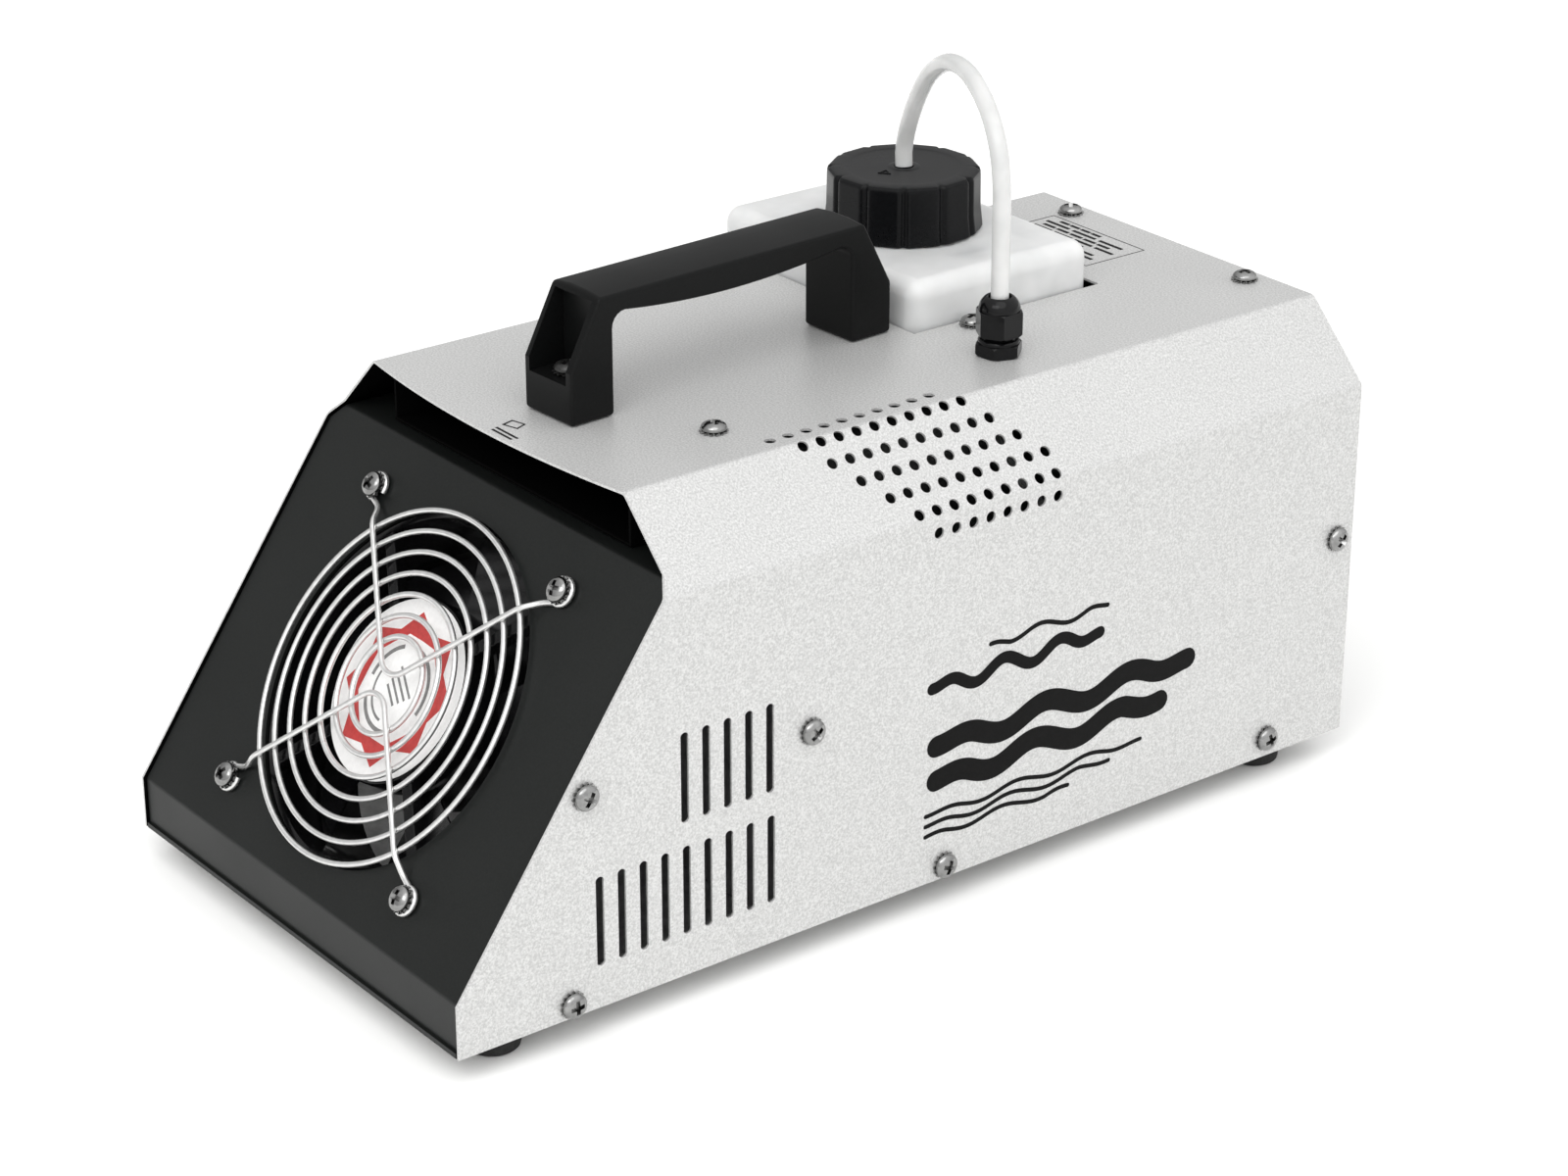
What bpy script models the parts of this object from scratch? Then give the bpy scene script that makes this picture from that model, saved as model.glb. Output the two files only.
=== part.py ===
"""Compact fog machine: a folded sheet-metal body with a fan behind a wire guard in its slanted
front, a fog outlet slot above it, a carrying handle and a lift-out fluid tank on top.

Metres, +Z up. The front faces -Y, the origin is on the floor at the centre of the footprint.
Depths are counted from the front lip towards the rear, heights from the hood's lower edge."""

import math

import bmesh
import bpy
from mathutils import Matrix, Vector

MM = 0.001

# Driving dimensions
WIDTH = 190 * MM
LENGTH = 368 * MM
HOOD_HEIGHT = 154 * MM
SHOULDER = 25 * MM
LIP_HEIGHT = 18 * MM
FRONT_DEPTH = 81 * MM
FRONT_TOP = 134 * MM
TOP_EDGE_BOW = 5.5 * MM
SHEET = 1.0 * MM
PANEL_SHEET = 1.2 * MM
FOOT_HEIGHT = 10 * MM
REAR_REACH = 1.5 * MM
GAP = 0.3 * MM
PANEL_RECESS = 1.0 * MM
FLANGE = 12 * MM

HALF = WIDTH / 2
SIDE_TOP = HOOD_HEIGHT - SHOULDER
TOP_HALF = HALF - SHOULDER
FRONT_Y = -(LENGTH + REAR_REACH) / 2
SLANT = Vector((0, FRONT_DEPTH, FRONT_TOP - LIP_HEIGHT)).normalized()
OUTWARD = Vector((0, -SLANT.z, SLANT.y))
SLANT_ANGLE = math.atan2(SLANT.z, SLANT.y)
INSIDE_HALF = HALF - SHEET - 0.5 * MM

# Side openings
SLOT_WIDTH = 3.1 * MM
SLOT_HEIGHT = 30.5 * MM
SLOT_PITCH = 8.1 * MM
UPPER_SLOTS = {"count": 5, "depth": 84.0 * MM, "height": 53.0 * MM}
LOWER_SLOTS = {"count": 9, "depth": 52.0 * MM, "height": 14.4 * MM}
HOLE_RADIUS = 1.9 * MM
HOLE_PITCH = 7.03 * MM
HOLE_ROW_STEP = 8.0 * MM
HOLE_FIRST_DEPTH = 140.5 * MM
HOLE_ROWS = 7
HOLES_PER_ROW = 10
LAST_HOLE = 13

# Fan and guard, in the slanted frame of the front panel
FAN_ALONG_SLANT = 69.9 * MM
FAN_SIZE = 119 * MM
FAN_DEPTH = 38 * MM
FAN_BORE = 57.5 * MM
FAN_SCREW = 52.5 * MM
HUB_RADIUS = 30.2 * MM
BLADES = 5
PANEL_HOLE = 59 * MM
WIRE = 0.95 * MM
RING_RADII = [58 * MM - 7 * MM * step for step in range(7)]
RING_LIFT = 3.1 * MM
STRUT_LIFT = 4.7 * MM
EYELET_LIFT = 1.3 * MM
EYELET_RADIUS = 4.2 * MM

# Tank and cap
TANK_LEFT, TANK_RIGHT = -91.0 * MM, 16.2 * MM
TANK_FRONT, TANK_REAR = 236.6 * MM, 314.5 * MM
TANK_BOTTOM, TANK_TOP = 60.6 * MM, 170.0 * MM
TANK_ROUND = 6 * MM
TANK_WALL = 2 * MM
TANK_HOLE = {"left": -92.2 * MM, "right": 17.4 * MM, "front": 235.6 * MM, "rear": 317.2 * MM}
SHELF_TOP = 60.2 * MM
CAP_X, CAP_DEPTH = -35.9 * MM, 274 * MM
NECK_RADIUS = 20 * MM
NECK_TOP = 183 * MM
CAP_RADIUS = 26 * MM
CAP_BOTTOM, CAP_TOP = 170.4 * MM, 191.0 * MM
CAP_GROOVES = 12
HOSE_RADIUS = 3 * MM

# Hose gland
GLAND_X, GLAND_DEPTH = 48.3 * MM, 245.7 * MM
GLAND_HEX = 14 * MM

# Handle
HANDLE_LENGTH = 132.8 * MM
HANDLE_WIDTH = 24.2 * MM
HANDLE_HEIGHT = 40.5 * MM
HANDLE_LEG = 17 * MM
HANDLE_SILL = 13 * MM
HANDLE_HOLES = 117 * MM
HANDLE_X = 3.0 * MM
HANDLE_DEPTH = 163.5 * MM
HANDLE_TWIST = math.radians(3.1)

# Screws: (depth, height) on the sides, (x, depth) on the top
SIDE_SCREWS = [(47.2, 73.5), (41, 4.8), (132.4, 69.5), (187, 4.9), (331.2, 7.1), (360, 74.5)]
TOP_SCREWS = [(46.8, 131.4), (-46.8, 131.4), (45, 359.5), (-45, 359.5), (22.5, 256.6)]
SCREW_HEAD = 4.2 * MM
SCREW_RISE = 3.4 * MM
SCREW_SHANK = 1.5 * MM
SCREW_LENGTH = 6 * MM

# Feet
FOOT_X = 79 * MM
FOOT_DEPTHS = (22.5 * MM, 342 * MM)
FOOT_RADIUS = 9 * MM

# Inside
BULKHEAD_DEPTH = 123.5 * MM
REAR_PLATE_DEPTH = 366.8 * MM
DUCT_HALF = 66 * MM
DUCT_FRONT, DUCT_REAR = 86 * MM, 123 * MM
DUCT_BOTTOM, DUCT_TOP = 133.6 * MM, 152.4 * MM
PIPE_X, PIPE_HEIGHT = 30 * MM, 143 * MM
PUMP_X, PUMP_DEPTH, PUMP_HEIGHT = 58 * MM, 292 * MM, 25 * MM

# Rear fittings: (x, height)
INLET_AT = (-60 * MM, 38 * MM)
SWITCH_AT = (-24 * MM, 38 * MM)
XLR_IN_AT = (18 * MM, 38 * MM)
XLR_OUT_AT = (58 * MM, 38 * MM)
DISPLAY_AT = (0, 110 * MM)
BUTTON_HEIGHT = 85 * MM
BUTTON_STEP = 16 * MM
BUTTON_NAMES = ("menu", "down", "up", "enter")
BUTTON_RADIUS = 4 * MM


def at(x, depth, height):
    """A place on the machine, in the scene's frame."""
    return Vector((x, FRONT_Y + depth, FOOT_HEIGHT + height))


def clear_scene():
    for obj in list(bpy.data.objects):
        bpy.data.objects.remove(obj)


def make_material(name, colour, roughness, metallic=0.0):
    material = bpy.data.materials.new(name)
    material.use_nodes = True
    shader = material.node_tree.nodes["Principled BSDF"]
    shader.inputs["Base Color"].default_value = (*colour, 1)
    shader.inputs["Roughness"].default_value = roughness
    shader.inputs["Metallic"].default_value = metallic
    return material


def make_empty(name, place, turn=None):
    empty = bpy.data.objects.new(name, None)
    empty.matrix_world = Matrix.Translation(place) @ (turn or Matrix.Identity(4))
    bpy.context.collection.objects.link(empty)
    return empty


def add_object(name, mesh, material, place=(0, 0, 0), parent=None, turn=None):
    obj = bpy.data.objects.new(name, mesh)
    bpy.context.collection.objects.link(obj)
    if material:
        mesh.materials.append(material)
    if parent:
        obj.parent = parent
    obj.matrix_basis = Matrix.Translation(place) @ (turn or Matrix.Identity(4))
    return obj


def mesh_of(name, points, faces, fix_normals=True):
    mesh = bpy.data.meshes.new(name)
    mesh.from_pydata([tuple(point) for point in points], [], faces)
    if fix_normals:
        work = bmesh.new()
        work.from_mesh(mesh)
        bmesh.ops.recalc_face_normals(work, faces=work.faces)
        work.to_mesh(mesh)
        work.free()
    return mesh


def smooth(mesh):
    mesh.shade_smooth()
    mesh.set_sharp_from_angle(angle=math.radians(35))
    return mesh


def prism(name, outline, axis, low, high):
    """A closed outline in the plane across an axis, extruded along it from low to high."""
    def place(pair, along):
        values = list(pair)
        values.insert(axis, along)
        return values

    count = len(outline)
    points = [place(pair, along) for along in (low, high) for pair in outline]
    faces = [list(range(count)), list(range(count, 2 * count))]
    faces += [[i, (i + 1) % count, count + (i + 1) % count, count + i] for i in range(count)]
    return mesh_of(name, points, faces)


def box(name, low, high):
    outline = [(low[0], low[1]), (high[0], low[1]), (high[0], high[1]), (low[0], high[1])]
    return prism(name, outline, 2, low[2], high[2])


def regular_outline(sides, radius, centre=(0, 0), start=0.0):
    angles = [start + 2 * math.pi * i / sides for i in range(sides)]
    return [(centre[0] + radius * math.cos(a), centre[1] + radius * math.sin(a)) for a in angles]


def rod(name, radius, low, high, sides=24, centre=(0, 0)):
    return smooth(prism(name, regular_outline(sides, radius, centre), 2, low, high))


def turned(name, profile, sides=24, radius_at=None):
    """A profile of (radius, height) turned about Z. It closes on the axis or on itself."""
    points, rings = [], []
    for radius, height in profile:
        steps = 1 if radius == 0 else sides
        rings.append(list(range(len(points), len(points) + steps)))
        for step in range(steps):
            angle = 2 * math.pi * step / sides
            reach = radius * (radius_at(angle) if radius_at else 1)
            points.append((reach * math.cos(angle), reach * math.sin(angle), height))
    closed_on_axis = profile[0][0] == 0
    pairs = list(zip(rings, rings[1:])) + ([] if closed_on_axis else [(rings[-1], rings[0])])
    faces = []
    for lower, upper in pairs:
        for step in range(sides):
            following = (step + 1) % sides
            corners = [lower[step % len(lower)], lower[following % len(lower)],
                       upper[following % len(upper)], upper[step % len(upper)]]
            faces.append(list(dict.fromkeys(corners)))
    return smooth(mesh_of(name, points, faces))


def swept(name, path, radius, sides=8, closed=False):
    """A round wire or tube along a path, its sections turned as little as possible."""
    path = [Vector(point) for point in path]
    count = len(path)
    points = []
    across = None
    for index, point in enumerate(path):
        before = path[index - 1] if closed or index else point
        after = path[(index + 1) % count] if closed or index < count - 1 else point
        along = (after - before).normalized()
        if across is None:
            across = along.orthogonal()
        across = (across - along * across.dot(along)).normalized()
        other = along.cross(across)
        for side in range(sides):
            angle = 2 * math.pi * side / sides
            points.append(point + radius * (math.cos(angle) * across + math.sin(angle) * other))
    links = count if closed else count - 1
    faces = [
        [ring * sides + side, ring * sides + (side + 1) % sides,
         (ring + 1) % count * sides + (side + 1) % sides, (ring + 1) % count * sides + side]
        for ring in range(links) for side in range(sides)
    ]
    if not closed:
        faces += [list(range(sides)), list(range((count - 1) * sides, count * sides))]
    return smooth(mesh_of(name, points, faces))


def joined(name, meshes):
    """One mesh holding several, each left as its own shell."""
    work = bmesh.new()
    for mesh in meshes:
        work.from_mesh(mesh)
    result = bpy.data.meshes.new(name)
    work.to_mesh(result)
    work.free()
    return result


def helper(name, mesh, parent=None, place=(0, 0, 0), turn=None):
    """A tool for a Boolean: in the scene, but no part of the machine."""
    obj = add_object(name, mesh, None, place, parent, turn)
    obj.hide_render = True
    obj.display_type = "WIRE"
    return obj


def boolean(obj, tool, operation="DIFFERENCE"):
    modifier = obj.modifiers.new(tool.name, "BOOLEAN")
    modifier.operation = operation
    modifier.object = tool


def thicken(obj, thickness):
    modifier = obj.modifiers.new("sheet", "SOLIDIFY")
    modifier.solidify_mode = "NON_MANIFOLD"
    modifier.nonmanifold_thickness_mode = "CONSTRAINTS"
    modifier.thickness = thickness
    modifier.offset = -1


def round_edges(obj, width, segments=2, angle=30):
    modifier = obj.modifiers.new("rounding", "BEVEL")
    modifier.width = width
    modifier.segments = segments
    modifier.limit_method = "ANGLE"
    modifier.angle_limit = math.radians(angle)


# Sheet-metal body

def side_slot_tool():
    arcs = 4
    shapes = []
    for row in (UPPER_SLOTS, LOWER_SLOTS):
        for step in range(row["count"]):
            centre = at(0, row["depth"] + step * SLOT_PITCH, row["height"] + SLOT_HEIGHT / 2)
            straight = SLOT_HEIGHT / 2 - SLOT_WIDTH / 2
            outline = []
            for end, first in ((1, 0), (-1, math.pi)):
                for arc in range(arcs + 1):
                    angle = first + math.pi * arc / arcs
                    outline.append((centre.y + SLOT_WIDTH / 2 * math.cos(angle),
                                    centre.z + end * straight + SLOT_WIDTH / 2 * math.sin(angle)))
            shapes.append(prism("slot", outline, 0, -HALF - 5 * MM, HALF + 5 * MM))
    return helper("side_slot_tool", joined("side_slots", shapes))


def perforation_tool():
    """Staggered rows of holes wrapped over the right shoulder, measured along the bent sheet."""
    shapes = []
    slope = math.sqrt(2) * SHOULDER
    reach = 1.6 * MM
    for row in range(HOLE_ROWS):
        along = HOLE_ROW_STEP * row - 6.5 * MM
        if along < 0:
            x, height, lean = TOP_HALF + along, HOOD_HEIGHT, 0
        elif along < slope:
            x, height, lean = TOP_HALF + along / math.sqrt(2), HOOD_HEIGHT - along / math.sqrt(2), 45
        else:
            x, height, lean = HALF, SIDE_TOP - (along - slope), 90
        turn = Matrix.Rotation(math.radians(lean), 4, "Y")
        for column in range(row, min(row + HOLES_PER_ROW, LAST_HOLE + 1)):
            hole = rod("hole", HOLE_RADIUS, -SHEET - reach, reach, 8)
            hole.transform(Matrix.Translation(at(x, HOLE_FIRST_DEPTH + column * HOLE_PITCH, height)) @ turn)
            shapes.append(hole)
    return helper("perforation_tool", joined("perforation", shapes))


def screw_hole_tool():
    shapes = []
    for depth, height in SIDE_SCREWS:
        centre = at(0, depth * MM, height * MM)
        outline = regular_outline(8, SCREW_SHANK + GAP, (centre.y, centre.z))
        shapes.append(prism("hole", outline, 0, -HALF - 5 * MM, HALF + 5 * MM))
    for x, depth in TOP_SCREWS:
        centre = at(x * MM, depth * MM, 0)
        top = FOOT_HEIGHT + HOOD_HEIGHT
        shapes.append(rod("hole", SCREW_SHANK + GAP, top - 8 * MM, top + 2 * MM, 8, (centre.x, centre.y)))
    return helper("screw_hole_tool", joined("screw_holes", shapes))


def top_hole_tool():
    """The tank's cut-out, and the round holes for the gland and the handle's screws."""
    top = FOOT_HEIGHT + HOOD_HEIGHT
    low = at(TANK_HOLE["left"], TANK_HOLE["front"], SIDE_TOP - 5 * MM)
    high = at(TANK_HOLE["right"], TANK_HOLE["rear"], HOOD_HEIGHT + 5 * MM)
    gland = at(GLAND_X, GLAND_DEPTH, 0)
    shapes = [box("tank_hole", low, high), rod("gland_hole", 6 * MM, top - 3 * MM, top + 3 * MM, 16, gland.xy)]
    for place in handle_screw_places():
        shapes.append(rod("bolt_hole", 2.8 * MM, top - 3 * MM, top + 3 * MM, 12, place.xy))
    return helper("top_hole_tool", joined("top_holes", shapes))


def make_hood(paint, screw_holes):
    arc_points = 12
    bow = []
    for step in range(1, arc_points):
        x = TOP_HALF * (1 - 2 * step / arc_points)
        bow.append((x, FRONT_DEPTH - TOP_EDGE_BOW * (1 - (x / TOP_HALF) ** 2)))
    side_top_depth = FRONT_DEPTH * (SIDE_TOP - LIP_HEIGHT) / (FRONT_TOP - LIP_HEIGHT)
    kink_half = HALF - (FRONT_TOP - SIDE_TOP)

    def edge(sign):
        return [at(sign * HALF, 0, 0), at(sign * HALF, 0, LIP_HEIGHT),
                at(sign * HALF, side_top_depth, SIDE_TOP), at(sign * kink_half, FRONT_DEPTH, FRONT_TOP),
                at(sign * TOP_HALF, FRONT_DEPTH, HOOD_HEIGHT),
                at(sign * HALF, LENGTH, 0), at(sign * HALF, LENGTH, SIDE_TOP),
                at(sign * TOP_HALF, LENGTH, HOOD_HEIGHT)]

    points = edge(1) + edge(-1) + [at(x, depth, HOOD_HEIGHT) for x, depth in bow]
    faces = [
        [0, 5, 6, 2, 1], [2, 6, 7, 4, 3],
        [8, 9, 10, 14, 13], [10, 11, 12, 15, 14],
        [4, 7, 15, 12] + list(range(15 + len(bow), 15, -1)),
    ]
    obj = add_object("hood", mesh_of("hood", points, faces, fix_normals=False), paint)
    thicken(obj, SHEET)
    boolean(obj, side_slot_tool())
    boolean(obj, perforation_tool())
    boolean(obj, screw_holes)
    boolean(obj, top_hole_tool())


def make_base_tray(paint, screw_holes):
    front, rear = 0.2 * MM, LENGTH - 2.5 * MM
    flange_front, flange_rear = 6 * MM, LENGTH - 16 * MM
    rise = 14 * MM
    points = [at(x, depth, 0) for x, depth in (
        (-INSIDE_HALF, front), (-INSIDE_HALF, flange_front), (-INSIDE_HALF, flange_rear), (-INSIDE_HALF, rear),
        (INSIDE_HALF, rear), (INSIDE_HALF, flange_rear), (INSIDE_HALF, flange_front), (INSIDE_HALF, front))]
    points += [at(x, depth, rise) for x in (-INSIDE_HALF, INSIDE_HALF) for depth in (flange_front, flange_rear)]
    faces = [[0, 1, 2, 3, 4, 5, 6, 7], [1, 8, 9, 2], [5, 11, 10, 6]]
    obj = add_object("base_tray", mesh_of("base_tray", points, faces, fix_normals=False), paint)
    thicken(obj, PANEL_SHEET)
    boolean(obj, screw_holes)
    stems = [rod("stem_hole", 3.4 * MM, 0, 30 * MM, 12, place.xy) for place in foot_places()]
    boolean(obj, helper("foot_hole_tool", joined("foot_holes", stems)))


def make_front_panel(paint, screw_holes, fan_frame_empty):
    base = Vector((0, 0, LIP_HEIGHT)) - PANEL_RECESS * OUTWARD
    lip_depth = PANEL_RECESS
    lip_bottom, flange_back = 1.6 * MM, 99 * MM
    fold = (lip_depth - base.y) / SLANT.y
    top_height = FRONT_TOP - 1.3 * MM
    top = (top_height - base.z) / SLANT.z
    shoulder_start = (SIDE_TOP - 1.2 * MM - base.z) / SLANT.z
    top_half = HALF - (top_height - SIDE_TOP) - 2.4 * MM
    flange_low, flange_high = 9 * MM, 124 * MM

    def on_slant(x, along, inward=0.0):
        spot = base + SLANT * along - OUTWARD * inward
        return at(x, spot.y, spot.z)

    points = []
    for sign in (1, -1):
        half = sign * INSIDE_HALF
        points += [
            at(half - sign * 1.6 * MM, lip_depth, lip_bottom), on_slant(half, fold),
            on_slant(half, flange_low), on_slant(half, flange_high), on_slant(half, shoulder_start),
            on_slant(sign * top_half, top),
            at(sign * top_half, flange_back, top_height),
            on_slant(half, flange_low, FLANGE), on_slant(half, flange_high, FLANGE),
        ]
    faces = [
        [9, 0, 1, 10],
        [10, 1, 2, 3, 4, 5, 14, 13, 12, 11],
        [14, 5, 6, 15],
        [2, 7, 8, 3], [11, 12, 17, 16],
    ]
    obj = add_object("front_panel", mesh_of("front_panel", points, faces, fix_normals=False), paint)
    thicken(obj, PANEL_SHEET)
    shapes = [rod("fan_hole", PANEL_HOLE, -5 * MM, 5 * MM, 48)]
    for x in (-FAN_SCREW, FAN_SCREW):
        for y in (-FAN_SCREW, FAN_SCREW):
            shapes.append(rod("bolt_hole", 2.3 * MM, -5 * MM, 5 * MM, 10, (x, y)))
    boolean(obj, helper("fan_hole_tool", joined("fan_holes", shapes), fan_frame_empty))
    boolean(obj, screw_holes)


def make_closing_plate(name, depth, flange_way, inset, paint, cutters):
    """A plate that fills the hood's section, with flanges along the sides and the top.

    The inset narrows its lower end, where it stands between the tray's flanges."""
    top = HOOD_HEIGHT - SHEET - 0.4 * MM
    low = 1.6 * MM
    inside = HALF - SHEET - 0.5 * MM
    side_top = SIDE_TOP - 0.6 * MM
    top_half = TOP_HALF - 0.9 * MM
    flange_low, flange_high = 16 * MM, 118 * MM
    flange_top = 62 * MM
    back = depth + flange_way * FLANGE
    right = [(inside - inset, low), (inside - inset, flange_low), (inside, flange_low), (inside, flange_high),
             (inside, side_top), (top_half, top), (flange_top, top)]
    outline = right + [(-x, height) for x, height in right[::-1]]
    if not inset:
        outline = [pair for index, pair in enumerate(outline) if index not in (1, 12)]
    points = [at(x, depth, height) for x, height in outline]
    last = len(outline) - 1
    low_fold = outline.index((inside, flange_low))
    faces = [list(range(len(outline)))]
    for first in (low_fold, outline.index((flange_top, top)), last - low_fold - 1):
        faces.append([first, len(points), len(points) + 1, first + 1])
        points += [at(outline[index][0], back, outline[index][1]) for index in (first, first + 1)]
    if flange_way < 0:
        faces = [face[::-1] for face in faces]
    obj = add_object(name, mesh_of(name, points, faces, fix_normals=False), paint)
    thicken(obj, PANEL_SHEET)
    for cutter in cutters:
        boolean(obj, cutter)
    return obj


def make_tank_shelf(paint):
    leg_front, leg_rear = TANK_HOLE["front"] + 2 * MM, TANK_HOLE["rear"] - 2 * MM
    foot = 14 * MM
    low = PANEL_SHEET + GAP
    left, right = -INSIDE_HALF + 2 * MM, TANK_HOLE["right"] + 2 * MM
    course = [(leg_front - foot, low + PANEL_SHEET), (leg_front, low + PANEL_SHEET),
              (leg_front, SHELF_TOP), (leg_rear, SHELF_TOP),
              (leg_rear, low + PANEL_SHEET), (leg_rear + foot, low + PANEL_SHEET)]
    points = [at(x, depth, height) for depth, height in course for x in (left, right)]
    faces = [[2 * i, 2 * i + 1, 2 * i + 3, 2 * i + 2] for i in range(len(course) - 1)]
    obj = add_object("tank_shelf", mesh_of("tank_shelf", points, faces, fix_normals=False), paint)
    thicken(obj, PANEL_SHEET)


def make_outlet_duct(paint, pipe_hole):
    outer = box("outlet_duct", at(-DUCT_HALF, DUCT_FRONT, DUCT_BOTTOM), at(DUCT_HALF, DUCT_REAR, DUCT_TOP))
    obj = add_object("outlet_duct", outer, paint)
    wall = 1.0 * MM
    inner = box("duct_space", at(-DUCT_HALF + wall, DUCT_FRONT - 5 * MM, DUCT_BOTTOM + wall),
                at(DUCT_HALF - wall, DUCT_REAR - wall, DUCT_TOP - wall))
    boolean(obj, helper("duct_space_tool", inner))
    boolean(obj, pipe_hole)


def pipe_hole_tool():
    centre = at(PIPE_X, 0, PIPE_HEIGHT)
    outline = regular_outline(16, 6 * MM, (centre.x, centre.z))
    low, high = FRONT_Y + DUCT_REAR - 5 * MM, FRONT_Y + BULKHEAD_DEPTH + 5 * MM
    return helper("pipe_hole_tool", prism("pipe_hole", outline, 1, low, high))


# Fasteners

def screw_mesh(length=SCREW_LENGTH, shank=SCREW_SHANK, head=SCREW_HEAD, rise=SCREW_RISE):
    """A pan-head screw along Z with its lock washer: underside at 0, dome at +rise."""
    washer = 0.6 * MM
    profile = [(0, -length), (shank, -length), (shank, 0), (head + 0.1 * MM, 0), (head + 0.1 * MM, washer),
               (0.85 * head, washer), (head, washer + 0.4 * MM), (0.93 * head, 0.55 * rise),
               (0.66 * head, 0.87 * rise), (0, rise)]
    return turned("screw", profile, 10)


def make_body_screws(metal):
    mesh = screw_mesh()
    for index, (depth, height) in enumerate(SIDE_SCREWS, 1):
        for side, sign in (("right", 1), ("left", -1)):
            place = at(sign * (HALF + GAP), depth * MM, height * MM)
            turn = Matrix.Rotation(sign * math.pi / 2, 4, "Y")
            add_object(f"side_screw_{side}_{index}", mesh.copy(), metal, place, turn=turn)
    for index, (x, depth) in enumerate(TOP_SCREWS, 1):
        add_object(f"top_screw_{index}", mesh.copy(), metal, at(x * MM, depth * MM, HOOD_HEIGHT + GAP))


def foot_places():
    return [at(sign * FOOT_X, depth, 0) for depth in FOOT_DEPTHS for sign in (1, -1)]


def make_feet(rubber):
    """A push-in foot: a tapered pad below the tray, a stem through it and a barb above."""
    plate = PANEL_SHEET + GAP
    profile = [(0, -FOOT_HEIGHT), (FOOT_RADIUS - 1.5 * MM, -FOOT_HEIGHT), (FOOT_RADIUS - 0.5 * MM, -FOOT_HEIGHT + MM),
               (FOOT_RADIUS, -GAP), (3 * MM, -GAP), (3 * MM, plate), (4.2 * MM, plate),
               (2.2 * MM, plate + 3.5 * MM), (0, plate + 3.5 * MM)]
    mesh = turned("foot", profile, 20)
    for index, place in enumerate(foot_places(), 1):
        add_object(f"foot_{index}", mesh.copy(), rubber, place)


# Fan and guard

def make_fan(empty, frame_paint, rotor_paint):
    """The frame with its stator hub and four struts, and the rotor behind the struts."""
    back = -1.5 * MM - FAN_DEPTH
    front = -1.5 * MM
    corner = 6 * MM
    half = FAN_SIZE / 2
    outline = []
    for sx, sy, first in ((1, 1, 0), (-1, 1, 90), (-1, -1, 180), (1, -1, 270)):
        for step in range(4):
            angle = math.radians(first + 30 * step)
            outline.append((sx * (half - corner) + corner * math.cos(angle),
                            sy * (half - corner) + corner * math.sin(angle)))
    frame = add_object("fan_frame", prism("fan_frame", outline, 2, back, front), frame_paint, parent=empty)
    shapes = [rod("bore", FAN_BORE, back - 2 * MM, front + 2 * MM, 48)]
    for x in (-FAN_SCREW, FAN_SCREW):
        for y in (-FAN_SCREW, FAN_SCREW):
            shapes.append(rod("bolt_hole", 2.3 * MM, back - 2 * MM, front + 2 * MM, 10, (x, y)))
    boolean(frame, helper("fan_bore_tool", joined("fan_bores", shapes), empty))
    strut_depth, strut_half, hub_back = 5 * MM, 2 * MM, -14 * MM
    struts = []
    for angle in (45, 135):
        bar = box("strut", (-FAN_BORE - 1.5 * MM, -strut_half, front - strut_depth),
                  (FAN_BORE + 1.5 * MM, strut_half, front - 0.5 * MM))
        bar.transform(Matrix.Rotation(math.radians(angle), 4, "Z"))
        struts.append(helper(f"fan_strut_{angle}", bar, empty))
    hub = helper("fan_hub_tool", rod("fan_hub", HUB_RADIUS, hub_back, front, 40), empty)
    for tool in (*struts, hub):
        boolean(frame, tool, "UNION")

    rotor_front, rotor_back = hub_back - 1 * MM, back + 3 * MM
    rotor = add_object("fan_rotor", rod("fan_rotor", HUB_RADIUS - 1 * MM, rotor_back, rotor_front, 32),
                       rotor_paint, parent=empty)
    boolean(rotor, helper("blade_tool", blade_mesh(rotor_front, rotor_back), empty), "UNION")


def blade_mesh(front, back):
    """Swept blades, each a thin plate whose pitch flattens towards its tip."""
    stations = 5
    thick = 1.2 * MM
    inner, outer = HUB_RADIUS - 2.5 * MM, FAN_BORE - 1.5 * MM
    middle = (front + back) / 2
    shapes = []
    for blade in range(BLADES):
        points = []
        for station in range(stations):
            part = station / (stations - 1)
            radius = inner + part * (outer - inner)
            half_turn = math.radians(26 + 2 * part)
            lean = (front - back) / 2 * (0.9 - 0.25 * part)
            sweep = 2 * math.pi * blade / BLADES + math.radians(8) * part
            for way in (-1, 0, 1):
                angle = sweep + way * half_turn
                height = middle + way * lean
                for side in (-0.5, 0.5):
                    points.append((radius * math.cos(angle), radius * math.sin(angle), height + side * 2 * thick))
        faces = []
        per = 6
        for station in range(stations - 1):
            a, b = station * per, (station + 1) * per
            for low, high in ((0, 2), (2, 4)):
                faces += [[a + low, a + high, b + high, b + low],
                          [a + low + 1, b + low + 1, b + high + 1, a + high + 1]]
            faces += [[a, b, b + 1, a + 1], [a + 4, a + 5, b + 5, b + 4]]
        for start in (0, (stations - 1) * per):
            faces += [[start, start + 1, start + 3, start + 2], [start + 2, start + 3, start + 5, start + 4]]
        shapes.append(mesh_of("blade", points, faces))
    return joined("blades", shapes)


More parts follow.
